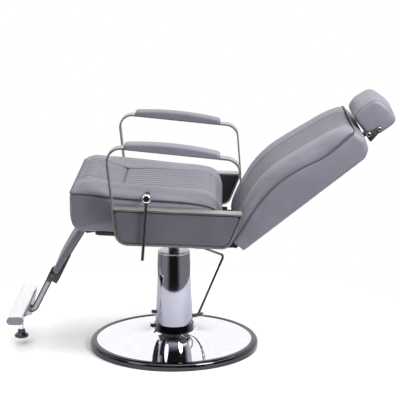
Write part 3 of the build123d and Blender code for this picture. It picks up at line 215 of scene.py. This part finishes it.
def leather_material(name, colour):
    """Fine-grained leatherette: pebbled grain, faint mottling, and painted shade darkening the seams."""
    material, nodes, links, shader = new_material(name)
    mottle = object_noise(nodes, links, 14, 3)
    tone = two_tone(
        nodes, links, spread(nodes, links, mottle.outputs["Fac"], 0, 1),
        scaled(colour, 0.93), scaled(colour, 1.06),
    )
    seam = nodes.new("ShaderNodeAttribute")
    seam.attribute_name = "seam"
    shade = nodes.new("ShaderNodeMix")
    shade.data_type = "RGBA"
    # the seam mask mixes in painted shade: the groove's shade as a darker colour
    shade.inputs["B"].default_value = (*scaled(colour, SEAM_PAINTED_SHADE), 1)
    links.new(tone, shade.inputs["A"])
    links.new(seam.outputs["Fac"], shade.inputs["Factor"])
    links.new(shade.outputs["Result"], shader.inputs["Base Color"])
    links.new(spread(nodes, links, mottle.outputs["Fac"], 0.40, 0.50), shader.inputs["Roughness"])
    place = nodes.new("ShaderNodeTexCoord")
    grain = nodes.new("ShaderNodeTexVoronoi")
    grain.inputs["Scale"].default_value = 620
    links.new(place.outputs["Object"], grain.inputs["Vector"])
    creases = object_noise(nodes, links, 55, 5)
    coarse = bump(nodes, links, creases.outputs["Fac"], 0.10, 0.002)
    fine = bump(nodes, links, grain.outputs["Distance"], 0.22, 0.0005, coarse)
    links.new(fine.outputs["Normal"], shader.inputs["Normal"])
    shader.inputs["Specular IOR Level"].default_value = 0.42
    shader.inputs["Sheen Weight"].default_value = 0.06
    return material


def metal_material(name, colour, roughness, brushed=None):
    """Metal with faint polishing marks, brushed along one axis where given."""
    material, nodes, links, shader = new_material(name)
    shader.inputs["Metallic"].default_value = 1.0
    stretch = brushed or (1, 1, 1)
    marks = object_noise(nodes, links, 240 if brushed else 35, 4, stretch)
    tone = two_tone(
        nodes, links, spread(nodes, links, marks.outputs["Fac"], 0, 1),
        scaled(colour, 0.96), scaled(colour, 1.03),
    )
    links.new(tone, shader.inputs["Base Color"])
    rough = spread(nodes, links, marks.outputs["Fac"], roughness * 0.8, roughness * 1.25)
    links.new(rough, shader.inputs["Roughness"])
    if brushed:
        relief = bump(nodes, links, marks.outputs["Fac"], 0.05, 0.0001)
        links.new(relief.outputs["Normal"], shader.inputs["Normal"])
    return material


def plain_material(
    name, colour, roughness, texture_scale, depth, coat=0.0, grain=(1, 1, 1), spread_of=(0.86, 1.12),
):
    """Paint, rubber, plastic or wood: a mottled colour over a fine surface relief."""
    material, nodes, links, shader = new_material(name)
    relief_noise = object_noise(nodes, links, texture_scale, 5, grain)
    tone = two_tone(
        nodes, links, spread(nodes, links, relief_noise.outputs["Fac"], 0, 1),
        scaled(colour, spread_of[0]), scaled(colour, spread_of[1]),
    )
    links.new(tone, shader.inputs["Base Color"])
    rough = spread(nodes, links, relief_noise.outputs["Fac"], roughness * 0.9, roughness * 1.1)
    links.new(rough, shader.inputs["Roughness"])
    relief = bump(nodes, links, relief_noise.outputs["Fac"], 0.3, depth)
    links.new(relief.outputs["Normal"], shader.inputs["Normal"])
    shader.inputs["Coat Weight"].default_value = coat
    return material


leather = leather_material("grey_leatherette", LEATHER)
materials = {
    "grey_leather": leather,
    # piping: a darker copy of the leather, painted shade along the piping
    "piping": leather_material("piping_leatherette_painted_shade", scaled(LEATHER, 0.45)),
    # side panels: a darker copy of the leather, painted shade for their shaded place beside the seat
    "panel": leather_material("panel_leatherette_painted_shade", scaled(LEATHER, 0.62)),
    "polished_chrome": metal_material("polished_chrome", (0.80, 0.80, 0.85), 0.04),
    "dark_chrome": metal_material("dark_chrome", (0.17, 0.165, 0.19), 0.09),
    "arm_steel": metal_material("satin_steel", (0.50, 0.48, 0.47), 0.42, (1, 0.05, 1)),
    "bright_steel": metal_material("bright_steel", (0.74, 0.74, 0.76), 0.18, (1, 0.1, 1)),
    "ram_steel": metal_material("ground_steel", (0.34, 0.34, 0.38), 0.10, (1, 1, 8)),
    "dark_steel": metal_material("dark_steel", (0.085, 0.072, 0.072), 0.24),
    "black_steel": plain_material("black_enamel", (0.018, 0.018, 0.021), 0.3, 300, 0.0002, 0.3),
    "plywood": plain_material(
        "stained_plywood", (0.040, 0.033, 0.030), 0.6, 60, 0.0006, grain=(1, 0.08, 1),
    ),
    "black_board": plain_material("black_board", (0.014, 0.014, 0.016), 0.5, 400, 0.0003),
    "white_aluminium": metal_material("satin_aluminium", (0.90, 0.90, 0.92), 0.36, (0.04, 1, 1)),
    "grey_plastic": plain_material("grey_plastic", (0.20, 0.19, 0.235), 0.42, 500, 0.0003),
    "black_rubber": plain_material("black_rubber", (0.012, 0.012, 0.014), 0.28, 600, 0.0002, 0.4),
    # a darker copy of chrome: painted dark reflection on the pump cover
    "cover_chrome_painted_dark_reflection": metal_material("cover_chrome_painted_dark_reflection", (0.32, 0.32, 0.38), 0.045),
    # near black: the base rim's own black, and painted dark reflection on the collar and footrest arm
    "rim_black_and_painted_dark_reflection": metal_material("rim_black_and_painted_dark_reflection", (0.060, 0.060, 0.070), 0.08),
    "plate_steel": metal_material("plate_steel", (0.30, 0.26, 0.25), 0.36),
    "inset_steel": metal_material("inset_steel", (0.42, 0.38, 0.41), 0.30),
    # a lighter copy of chrome: painted bright reflection on the base dome
    "base_chrome_painted_bright_reflection": metal_material("base_chrome_painted_bright_reflection", (0.93, 0.94, 0.97), 0.04),
}
# nodes whose finish is not the usual one of their slot; the base dome takes chrome made lighter to paint in a
# bright reflection, the pump cover, collar and footrest arm take chrome made darker to paint in a dark reflection,
# and the base rim's darkness is partly its own black and partly painted dark reflection
FINISH = {
    "headrest_post": "plate_steel", "foot_post": "bright_steel", "footrest_bolt": "dark_chrome",
    "base_rim": "rim_black_and_painted_dark_reflection", "base_dome": "base_chrome_painted_bright_reflection", "pump_cover": "cover_chrome_painted_dark_reflection",
    "pump_collar": "rim_black_and_painted_dark_reflection", "footrest_arm": "rim_black_and_painted_dark_reflection",
}


def dress_frame():
    """Give every carried-over CAD node the material of its slot."""
    slot_of = {row["node"]: row["material_slot"] for row in frame["record"]["subparts"]}
    for name, node in frame["nodes"].items():
        node.data.materials.clear()
        node.data.materials.append(materials[FINISH.get(name, slot_of[name])])


# ---------------------------------------------------------------- mesh helpers

def new_piece(name, vertices, faces, material=None):
    mesh = bpy.data.meshes.new(name)
    mesh.from_pydata([tuple(v) for v in vertices], [], faces)
    mesh.validate()
    mesh.update()
    piece = bpy.data.objects.new(name, mesh)
    bpy.context.scene.collection.objects.link(piece)
    piece.data.materials.append(material or leather)
    return piece


def shade_smooth(piece):
    piece.data.polygons.foreach_set("use_smooth", np.ones(len(piece.data.polygons), bool))
    piece.data.update()


def coordinates(piece):
    co = np.empty(len(piece.data.vertices) * 3)
    piece.data.vertices.foreach_get("co", co)
    return co.reshape(-1, 3)


def normals(piece):
    normal = np.empty(len(piece.data.vertices) * 3)
    piece.data.vertices.foreach_get("normal", normal)
    return normal.reshape(-1, 3)


def set_coordinates(piece, co):
    piece.data.vertices.foreach_set("co", np.ascontiguousarray(co).reshape(-1))
    piece.data.update()


def apply_modifiers(piece):
    """Bake a piece's modifiers into its mesh."""
    graph = bpy.context.evaluated_depsgraph_get()
    baked = bpy.data.meshes.new_from_object(piece.evaluated_get(graph))
    old = piece.data
    piece.modifiers.clear()
    piece.data = baked
    baked.name = piece.name
    bpy.data.meshes.remove(old)


def remesh(piece, voxel):
    """Replace a closed form's mesh by an even one of the given grain."""
    modifier = piece.modifiers.new("remesh", "REMESH")
    modifier.mode = "VOXEL"
    modifier.voxel_size = voxel
    apply_modifiers(piece)


def smooth(piece, rounds, factor=0.5):
    modifier = piece.modifiers.new("smooth", "SMOOTH")
    modifier.factor = factor
    modifier.iterations = rounds
    apply_modifiers(piece)


def subdivide(piece, levels=1):
    modifier = piece.modifiers.new("subdivide", "SUBSURF")
    modifier.levels = levels
    modifier.render_levels = levels
    apply_modifiers(piece)


def inflate(piece, cap, pressure=4.0, frames=14):
    """Swell a closed form as stuffed cloth, and let no point move further than cap."""
    before = coordinates(piece)
    scene = bpy.context.scene
    modifier = piece.modifiers.new("cloth", "CLOTH")
    settings = modifier.settings
    settings.use_pressure = True
    settings.uniform_pressure_force = pressure
    settings.effector_weights.gravity = 0.0
    settings.quality = 5
    settings.mass = 0.3
    settings.tension_stiffness = 25
    settings.compression_stiffness = 25
    settings.bending_stiffness = 2.0
    modifier.point_cache.frame_start = 1
    modifier.point_cache.frame_end = frames
    for step in range(1, frames + 1):
        scene.frame_set(step)
    apply_modifiers(piece)
    scene.frame_set(1)
    after = coordinates(piece)
    shift = after - before
    reach = np.linalg.norm(shift, axis=1, keepdims=True)
    set_coordinates(piece, before + shift * np.minimum(1, cap / np.maximum(reach, 1e-9)))


def face_outward(piece):
    """Turn every face of a closed form outward."""
    form = bmesh.new()
    form.from_mesh(piece.data)
    bmesh.ops.recalc_face_normals(form, faces=form.faces)
    form.to_mesh(piece.data)
    form.free()


def loft(name, rings, cap_rings=7):
    """Closed solid through rings of equally many points, with gridded ends."""
    def cap(ring):
        centre = sum((Vector(p) for p in ring), Vector()) / len(ring)
        return [
            [centre.lerp(Vector(p), 1 - k / (cap_rings + 1)) for p in ring]
            for k in range(1, cap_rings + 1)
        ]

    rings = cap(rings[0])[::-1] + rings + cap(rings[-1])
    count = len(rings[0])
    vertices = [point for ring in rings for point in ring]
    faces = []
    for r in range(len(rings) - 1):
        for i in range(count):
            here, there = r * count + i, r * count + (i + 1) % count
            faces.append((here, there, there + count, here + count))
    faces.append(tuple(reversed(range(count))))
    last = (len(rings) - 1) * count
    faces.append(tuple(range(last, last + count)))
    piece = new_piece(name, vertices, faces)
    face_outward(piece)
    return piece


def line(start, end, count):
    """Points between two (place, height) points, without the ends."""
    first, gap = np.array(start), np.array(end) - np.array(start)
    return [tuple(first + gap * k / (count + 1)) for k in range(1, count + 1)]


def around(places, reach=(0.0008, 0.0022, 0.0045)):
    """Places of sewn lines, with more places close on both sides of each."""
    offsets = [0.0] + [sign * r for r in reach for sign in (1, -1)]
    return [place + offset for place in places for offset in offsets]


def spaced(values, least=0.0006):
    """Sorted values without near repeats."""
    kept = []
    for value in sorted(float(v) for v in values):
        if not kept or value - kept[-1] > least:
            kept.append(value)
    return kept


def stuff(form, cap, voxel=VOXEL):
    """Swell a gridded form like stuffed cloth: a remeshed copy swells and the grid follows it."""
    swollen = bpy.data.objects.new(form.name + "_cloth", form.data.copy())
    bpy.context.scene.collection.objects.link(swollen)
    remesh(swollen, voxel)
    smooth(swollen, 4)
    inflate(swollen, cap)
    subdivide(swollen)
    modifier = form.modifiers.new("follow", "SHRINKWRAP")
    modifier.wrap_method = "NEAREST_SURFACEPOINT"
    modifier.target = swollen
    apply_modifiers(form)
    mesh = swollen.data
    bpy.data.objects.remove(swollen)
    bpy.data.meshes.remove(mesh)


def rounded(corners, radii, arc_points=7):
    """Points of a closed outline whose corners are rounded by arcs."""
    points = []
    count = len(corners)
    for i in range(count):
        before, here, after = (np.array(corners[(i + k) % count], float) for k in (-1, 0, 1))
        towards, away = before - here, after - here
        towards /= np.linalg.norm(towards)
        away /= np.linalg.norm(away)
        half = np.arccos(np.clip(np.dot(towards, away), -1, 1)) / 2
        setback = radii[i] / np.tan(half)
        centre = here + (towards + away) / np.linalg.norm(towards + away) * radii[i] / np.sin(half)
        start, end = here + towards * setback - centre, here + away * setback - centre
        first = np.arctan2(start[1], start[0])
        turn = np.arctan2(end[1], end[0]) - first
        turn = (turn + pi) % (2 * pi) - pi
        for t in np.linspace(0, 1, arc_points):
            angle = first + turn * t
            points.append(centre + radii[i] * np.array([np.cos(angle), np.sin(angle)]))
    return points


def tube(name, path, radius, material=None, closed=False, sides=10):
    """Round bead that follows a list of points."""
    path = [Vector(p) for p in path]
    count = len(path)
    rings = []
    side = None
    for i, point in enumerate(path):
        ahead = path[(i + 1) % count] if closed else path[min(i + 1, count - 1)]
        behind = path[i - 1] if closed or i > 0 else path[0]
        along = (ahead - behind).normalized()
        if side is None:
            side = along.orthogonal().normalized()
        side = (side - along * side.dot(along)).normalized()
        other = along.cross(side)
        rings.append([
            point + (side * cos(2 * pi * k / sides) + other * sin(2 * pi * k / sides)) * radius
            for k in range(sides)
        ])
    vertices = [v for ring in rings for v in ring]
    faces = []
    for r in range(count if closed else count - 1):
        for k in range(sides):
            a, b = r * sides + k, r * sides + (k + 1) % sides
            c, d = ((r + 1) % count) * sides + (k + 1) % sides, ((r + 1) % count) * sides + k
            faces.append((a, b, c, d))
    if not closed:
        faces.append(tuple(reversed(range(sides))))
        faces.append(tuple(range((count - 1) * sides, count * sides)))
    piece = new_piece(name, vertices, faces, material)
    shade_smooth(piece)
    return piece


def set_seam_painted_shade(piece, values):
    """Store how far each point lies in a seam, where the leather paints in the groove's shade."""
    attribute = piece.data.attributes.get("seam") or piece.data.attributes.new("seam", "FLOAT", "POINT")
    attribute.data.foreach_set("value", np.clip(values, 0, 1).astype(np.float32))


def channel_lines(half_panel, channels):
    return np.linspace(-half_panel, half_panel, channels + 1)


def channel_relief(across, lines, depth):
    """Depth below the channels' crests, and how near each place is to a sewn line, which sets the painted shade
    along the lines.
    """
    width = lines[1] - lines[0]
    away = np.min(np.abs(across[:, None] - lines[None, :]), axis=1)
    inside = np.abs(across) < lines[-1] + width / 2
    swell = np.clip(2 * away / width, 0, 1)
    relief = -depth * (1 - np.sqrt(1 - (1 - swell) ** 2)) * inside
    return relief, np.exp(-((away / 0.0042) ** 2)) * inside


def finish_padding(piece, body, node):
    shade_smooth(piece)
    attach(piece, body)
    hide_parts(node)


# ---------------------------------------------------------------- seat

def seat_top(x, y):
    """Height of the seat's upper surface."""
    x = abs(x)
    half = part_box("seat_cushion")[1].x
    edge, bolster, centre = (smooth_curve(c, y) for c in (SEAT_EDGE, SEAT_BOLSTER, SEAT_CENTRE))
    inside = centre + (bolster - centre) * ease(SEAT_PANEL - 0.012, SEAT_CREST_X, x)
    t = np.clip((x - SEAT_CREST_X) / (half - SEAT_CREST_X), 0, 1)
    return inside + (edge - inside) * (1 - np.sqrt(np.clip(1 - t ** 2.3, 0, 1)))


def make_seat():
    """Crowned seat with bolsters, sewn channels and one seam across them."""
    low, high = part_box("seat_cushion")
    front, rear, half = low.y, high.y, high.x
    lines = channel_lines(SEAT_PANEL, SEAT_CHANNELS)
    across = spaced([
        *around(lines), *(lines[:-1] + (lines[1] - lines[0]) / 2),
        *np.linspace(SEAT_PANEL, half, 22), *np.linspace(-half, -SEAT_PANEL, 22),
        half - 0.002, 0.002 - half,
    ])
    lengthwise = spaced([
        *np.linspace(front, front + 0.05, 16), *np.linspace(front + 0.05, rear - 0.04, 34),
        *np.linspace(rear - 0.04, rear, 14), *around([SEAT_CROSS_SEAM]),
    ])
    floor_front, floor_rear = SEAT_UNDERSIDE - SEAT_SLOPE * front, SEAT_UNDERSIDE - SEAT_SLOPE * rear
    turn = np.linspace(0, pi / 2, 7)
    toe_curve, heel_curve = SEAT_TOE_CURVE, SEAT_HEEL_CURVE
    rings = []
    for x in across:
        side = max(0.0, 1 - (half - abs(x)) / SIDE_ROUND)
        tuck = SIDE_ROUND * (1 - np.sqrt(max(0.0, 1 - side ** 2)))
        top = list(zip(lengthwise, seat_top(x, np.array(lengthwise)) - tuck * 0.3))
        heel_y, heel_z = rear - tuck - heel_curve, floor_rear + tuck + heel_curve
        heel = [(heel_y + heel_curve * cos(a), heel_z - heel_curve * sin(a)) for a in turn]
        toe_y, toe_z = front + tuck + toe_curve, floor_front + tuck + toe_curve
        toe = [(toe_y - toe_curve * sin(a), toe_z - toe_curve * cos(a)) for a in turn]
        ring = top + line(top[-1], heel[0], 6) + heel
        ring += line(heel[-1], toe[0], 16) + toe + line(toe[-1], top[0], 8)
        rings.append([(x, y, z) for y, z in ring])
    seat = loft("seat_upholstery", rings)
    stuff(seat, SEAT_SWELL)
    co, normal = coordinates(seat), normals(seat)
    x, y, z = co.T
    upward = ease(0.1, 0.4, normal[:, 2])
    rearward = ease(0.3, 0.8, normal[:, 1]) * ease(0.50, 0.53, z)
    facing = np.maximum(upward, rearward) * ease(front + 0.001, front + 0.010, y)
    panel = 1 - ease(SEAT_PANEL, SEAT_PANEL + 0.001, np.abs(x))
    relief, near = channel_relief(x, lines, CHANNEL_DEPTH)
    away = np.abs(y - SEAT_CROSS_SEAM)
    cross = np.exp(-((away / 0.005) ** 2)) * panel
    co += normal * ((relief - SEAT_CROSS_DEPTH * cross) * facing)[:, None]
    set_coordinates(seat, co)
    # painted shade darkens the channel lines and the cross seam
    cross_seam_shade = np.exp(-((away / 0.002) ** 2)) * panel
    set_seam_painted_shade(seat, facing * np.maximum(near * 0.9, cross_seam_shade))
    subdivide(seat)
    finish_padding(seat, "seat", "seat_cushion")


def make_seat_piping():
    low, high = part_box("seat_cushion")
    front, rear, half = low.y, high.y, high.x
    edge_y = np.linspace(front + 0.003, rear - 0.006, 60)
    edge_z = smooth_curve(SEAT_EDGE, edge_y)
    left = [Vector((half - 0.001, y, z)) for y, z in zip(edge_y, edge_z)]
    right = [Vector((-p.x, p.y, p.z)) for p in left]
    across = [Vector((x, front, edge_z[0])) for x in np.linspace(0.014 - half, half - 0.014, 40)]
    add_piping("seat_piping", left[::-1] + across[::-1] + right, "seat")


def add_piping(name, path, body):
    # the piping wears the darker leather copy: painted shade
    piping = tube(name, path, PIPING_RADIUS, materials["piping"])
    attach(piping, body)


# ---------------------------------------------------------------- back

def back_heights(along):
    seam = smooth_curve([(a, s) for a, s, c in BACK_PROFILE], along)
    crest = smooth_curve([(a, c) for a, s, c in BACK_PROFILE], along)
    return seam, crest


def back_reach(x, half):
    """How much lower the back ends at x than at its middle, for its rounded top corners."""
    corner = np.clip((abs(x) - (half - BACK_CORNER)) / BACK_CORNER, 0, 1)
    return BACK_CORNER_DROP * (1 - np.sqrt(1 - corner ** 2))


def lowered(along, drop):
    """A place up the back, drawn down where the top corner is rounded."""
    return along - drop * ease(*BACK_ROUNDED, along)


def make_back(half):
    """Crowned cushion with rounded top corners and sewn channels up its middle."""
    lines = channel_lines(BACK_PANEL, BACK_CHANNELS)
    across = spaced([
        *around(lines), *(lines[:-1] + (lines[1] - lines[0]) / 2),
        *np.linspace(BACK_PANEL, half, 22), *np.linspace(-half, -BACK_PANEL, 22),
        half - 0.002, 0.002 - half,
    ])
    along = np.array(spaced([
        *np.linspace(BACK_START, 0.03, 12), *np.linspace(0.03, 0.48, 40),
        *np.linspace(0.48, BACK_END, 20),
    ]))
    seam, crest = back_heights(along)
    rings = []
    for x in across:
        reach = back_reach(x, half)
        dip = 0.006 * (1 - ease(BACK_PANEL - 0.01, BACK_CREST_X, abs(x)))
        t = np.clip((abs(x) - BACK_CREST_X) / (half - BACK_CREST_X), 0, 1)
        fall = 1 - np.sqrt(max(0.0, 1 - t ** 2.4))
        height = crest - dip * np.minimum(1, (crest - seam) / 0.03)
        height = height + (seam + 0.003 - height) * fall
        under = x * (half - BACK_TUCK) / half
        ring = [on_back(x, lowered(a, reach), h) for a, h in zip(along, height)]
        ring += [
            on_back(under, lowered(a, reach), h - BACK_SINK) for a, h in list(zip(along, seam))[-2:1:-3]
        ]
        rings.append(ring)
    back = loft("back_upholstery", rings)
    stuff(back, BACK_SWELL)
    co, normal = coordinates(back), normals(back)
    place = (co - np.array(back_origin)) @ np.array(up_back)
    out = normal @ np.array(out_back)
    topward = normal @ np.array(up_back)
    facing = np.maximum(ease(0.05, 0.35, out), ease(0.5, 0.8, topward) * ease(0.45, 0.5, place))
    relief, near = channel_relief(co[:, 0], lines, CHANNEL_DEPTH)
    co += normal * (relief * facing)[:, None]
    set_coordinates(back, co)
    # painted shade darkens the channel lines
    set_seam_painted_shade(back, facing * near * 0.9)
    subdivide(back)
    finish_padding(back, "back", "back_cushion")


def make_back_shell(half):
    """The tray behind the cushion, its sides crowned between seam and rear."""
    shell = soft_copy("back_shell", "back_covering", 0.0045, 8)
    co = coordinates(shell)
    local = co - np.array(back_origin)
    place, height = local @ np.array(up_back), local @ np.array(out_back)
    seam = back_heights(place)[0]
    crown = np.sin(pi * np.clip((place + 0.01) / 0.555, 0, 1))
    crown *= np.sin(pi * np.clip(height / seam, 0, 1))
    outer = ease(half - 0.006, half - 0.003, np.abs(co[:, 0]))
    co[:, 0] += np.sign(co[:, 0]) * outer * (0.001 + SHELL_CROWN * np.sqrt(np.clip(crown, 0, 1)))
    drop = np.array([back_reach(x, half) for x in co[:, 0]]) * ease(*BACK_ROUNDED, place)
    co -= np.array(up_back) * drop[:, None]
    set_coordinates(shell, co)
    finish_padding(shell, "back", "back_shell")


def make_back_piping(half):
    edge = np.linspace(-0.012, 0.533, 90)
    seam = back_heights(edge)[0]
    drop = back_reach(half, half)
    left = [on_back(half, lowered(a, drop), h) for a, h in zip(edge, seam)]
    right = [on_back(-half, lowered(a, drop), h) for a, h in zip(edge, seam)]
    turn = half * np.sin(np.linspace(pi / 2, -pi / 2, 90)[1:-1])
    top = [on_back(x, 0.5355 - back_reach(x, half), seam[-1]) for x in turn]
    add_piping("back_piping", left + top + right[::-1], "back")


def soft_copy(node, name, voxel, rounds):
    """A node's own solid with every edge softened, as upholstery stretched over it."""
    piece = bpy.data.objects.new(name, frame["nodes"][node].data.copy())
    bpy.context.scene.collection.objects.link(piece)
    piece.data.materials.clear()
    piece.data.materials.append(leather)
    remesh(piece, voxel)
    smooth(piece, rounds)
    subdivide(piece)
    set_seam_painted_shade(piece, np.zeros(len(piece.data.vertices)))
    return piece


# ---------------------------------------------------------------- headrest, pads and panels

HEADREST = [
    (0.549, 0.042), (0.549, 0.112), (0.590, 0.124), (0.658, 0.116), (0.672, 0.060),
    (0.665, 0.003), (0.590, 0.005), (0.556, 0.024),
]
HEADREST_RADII = [0.006, 0.020, 0.060, 0.034, 0.060, 0.024, 0.012, 0.008]


def make_headrest():
    """Rolled cushion with rounded ends, each marked off by a sewn groove."""
    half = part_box("headrest_cushion")[1].x
    outline = rounded(HEADREST, HEADREST_RADII)
    centre = np.mean(outline, axis=0)
    rings = []
    ends = [half - 0.003, 0.003 - half, half - 0.0008, 0.0008 - half]
    for x in spaced([*np.linspace(-half, half, 50), *ends]):
        inset = max(0.0, abs(x) - (half - HEADREST_EDGE)) / HEADREST_EDGE
        shrink = HEADREST_EDGE * 0.7 * (1 - np.sqrt(max(0.0, 1 - inset ** 2)))
        crown = 0.004 * (1 - (x / half) ** 2)
        ring = []
        for point in outline:
            away = (point - centre) / np.linalg.norm(point - centre)
            place = point + away * (crown - 0.004 - shrink)
            ring.append(on_back(x, *place))
        rings.append(ring)
    headrest = loft("headrest_upholstery", rings)
    stuff(headrest, HEADREST_SWELL, 0.004)
    subdivide(headrest)
    co, normal = coordinates(headrest), normals(headrest)
    groove = np.exp(-((np.abs(co[:, 0]) - (half - 0.012)) / 0.0022) ** 2)
    co -= normal * (groove * 0.0022)[:, None]
    set_coordinates(headrest, co)
    # painted shade darkens the groove near each end
    set_seam_painted_shade(headrest, groove * 0.6)
    finish_padding(headrest, "headrest", "headrest_cushion")


def make_soft_copies():
    """Arm pads, side panels that fill out to the arm's bar, and leg pad."""
    for side in ("left", "right"):
        pad = soft_copy(f"arm_pad_{side}", f"armrest_padding_{side}", 0.0035, 3)
        finish_padding(pad, "seat", f"arm_pad_{side}")
        panel = soft_copy(f"side_panel_{side}", f"side_upholstery_{side}", 0.004, 4)
        co, normal = coordinates(panel), normals(panel)
        normal[:, 0] *= 0.5
        # the side panels take the darker leather copy: painted shade
        panel.data.materials[0] = materials["panel"]
        set_coordinates(panel, co + normal * PANEL_FILL)
        finish_padding(panel, "seat", f"side_panel_{side}")
    leg = soft_copy("leg_pad", "leg_upholstery", 0.004, 4)
    finish_padding(leg, "leg_rest", "leg_pad")


def make_arm_insets():
    """Lighter strips that line the pressed recesses on both faces of the footrest arm."""
    start, elbow, end = (Vector((0, *p)) for p in INSET_PATH)
    first, second = (start - elbow).normalized(), (end - elbow).normalized()
    setback = INSET_BEND / np.tan(first.angle(second) / 2)
    arc = []
    for t in np.linspace(0, 1, 9):
        near, far = elbow + first * setback * (1 - t), elbow + second * setback * t
        arc.append(near.lerp(far, float(t)))
    path = [start.lerp(arc[0], k / 6) for k in range(6)] + arc
    path += [arc[-1].lerp(end, k / 3) for k in range(1, 4)]
    for side in (1, -1):
        vertices, faces = [], []
        for i, point in enumerate(path):
            along = (path[min(i + 1, len(path) - 1)] - path[max(i - 1, 0)]).normalized()
            across = Vector((1, 0, 0)).cross(along) * INSET_WIDTH / 2
            for level in INSET_LEVELS:
                middle = point + Vector((side * level, 0, 0))
                vertices += [middle + across, middle - across]
        for i in range(len(path) - 1):
            a, b = 4 * i, 4 * i + 4
            faces += [(a + p, a + q, b + q, b + p) for p, q in ((0, 1), (1, 3), (3, 2), (2, 0))]
        last = 4 * (len(path) - 1)
        faces += [(0, 2, 3, 1), (last, last + 1, last + 3, last + 2)]
        name = "arm_inset_near" if side > 0 else "arm_inset_far"
        inset = new_piece(name, vertices, faces, materials["inset_steel"])
        face_outward(inset)
        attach(inset, "footrest")


# ---------------------------------------------------------------- studio

def make_floor():
    """Round pale floor; polished metal sees the darker room beyond its edge."""
    count = 96
    angles = [2 * pi * k / count for k in range(count)]
    floor = new_piece(
        "floor", [(FLOOR_RADIUS * cos(a), FLOOR_RADIUS * sin(a), -0.0005) for a in angles],
        [tuple(range(count))],
        plain_material("pale_floor", (0.94, 0.94, 0.95), 0.75, 30, 0.0002, spread_of=(0.98, 1.0)),
    )


def make_world(scene):
    """White studio, darker in the part of the room beyond the camera."""
    world = bpy.data.worlds.new("studio")
    scene.world = world
    world.use_nodes = True
    nodes, links = world.node_tree.nodes, world.node_tree.links

    def remap(source, low, high, start, end):
        node = nodes.new("ShaderNodeMapRange")
        node.interpolation_type = "SMOOTHSTEP"
        for name, value in (("From Min", low), ("From Max", high), ("To Min", start), ("To Max", end)):
            node.inputs[name].default_value = value
        links.new(source, node.inputs["Value"])
        return node.outputs["Result"]

    def maths(operation, *sources):
        node = nodes.new("ShaderNodeMath")
        node.operation = operation
        for socket, source in zip(node.inputs, sources):
            if isinstance(source, float):
                socket.default_value = source
            else:
                links.new(source, socket)
        return node.outputs["Value"]

    place = nodes.new("ShaderNodeTexCoord")
    split = nodes.new("ShaderNodeSeparateXYZ")
    links.new(place.outputs["Generated"], split.inputs["Vector"])
    turn = maths("ABSOLUTE", maths("ARCTAN2", split.outputs["Y"], split.outputs["X"]))
    low_room = remap(turn, *DARK_FLOOR, 0.0, 1.0)
    high_room = remap(turn, *DARK_ROOM, 0.0, 1.0)
    below = remap(split.outputs["Z"], -0.05, 0.08, 1.0, 0.0)
    overhead = remap(split.outputs["Z"], 0.55, 0.8, 0.0, 1.0)
    light = maths("MAXIMUM", maths("MINIMUM", low_room, maths("MAXIMUM", high_room, below)), overhead)
    height = remap(split.outputs["Z"], -0.3, 0.3, 0.42, 1.0)
    strength = maths("ADD", maths("MULTIPLY", light, height), 0.02)
    path = nodes.new("ShaderNodeLightPath")
    seen = maths("MAXIMUM", strength, path.outputs["Is Camera Ray"])
    links.new(seen, nodes["Background"].inputs["Strength"])
    nodes["Background"].inputs["Color"].default_value = (1, 1, 1, 1)


def make_studio():
    scene = bpy.context.scene
    camera_data = bpy.data.cameras.new("camera")
    camera_data.lens = CAMERA_LENS
    camera_data.sensor_width = 36
    camera = bpy.data.objects.new("camera", camera_data)
    scene.collection.objects.link(camera)
    a, e = CAMERA_AZIMUTH, CAMERA_ELEVATION
    behind = Vector((sin(a) * cos(e), -cos(a) * cos(e), sin(e)))
    right = Vector((cos(a), sin(a), 0))
    up = behind.cross(right)
    turn = Matrix((right, up, behind)).transposed().to_4x4()
    camera.matrix_world = Matrix.Translation(CAMERA_PLACE) @ turn
    scene.camera = camera

    make_floor()
    make_world(scene)
    for name, place, size, power in LAMPS:
        light_data = bpy.data.lights.new(name, "AREA")
        light_data.shape = "DISK"
        light_data.size = size
        light_data.energy = power
        light = bpy.data.objects.new(name, light_data)
        light.location = place
        aim = Vector((0, 0, 0.55)) - Vector(place)
        light.rotation_euler = aim.to_track_quat("-Z", "Y").to_euler()
        scene.collection.objects.link(light)
    sky_data = bpy.data.lights.new("overhead", "SUN")
    sky_data.energy = OVERHEAD
    sky_data.angle = radians(70)
    sky = bpy.data.objects.new("overhead", sky_data)
    sky.rotation_euler = (radians(-14), 0, 0)
    scene.collection.objects.link(sky)
    scene.view_settings.view_transform = "Standard"


dress_frame()
make_seat()
make_seat_piping()
back_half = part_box("back_cushion")[1].x
make_back(back_half)
make_back_shell(back_half)
make_back_piping(back_half)
make_headrest()
make_soft_copies()
make_arm_insets()
make_studio()
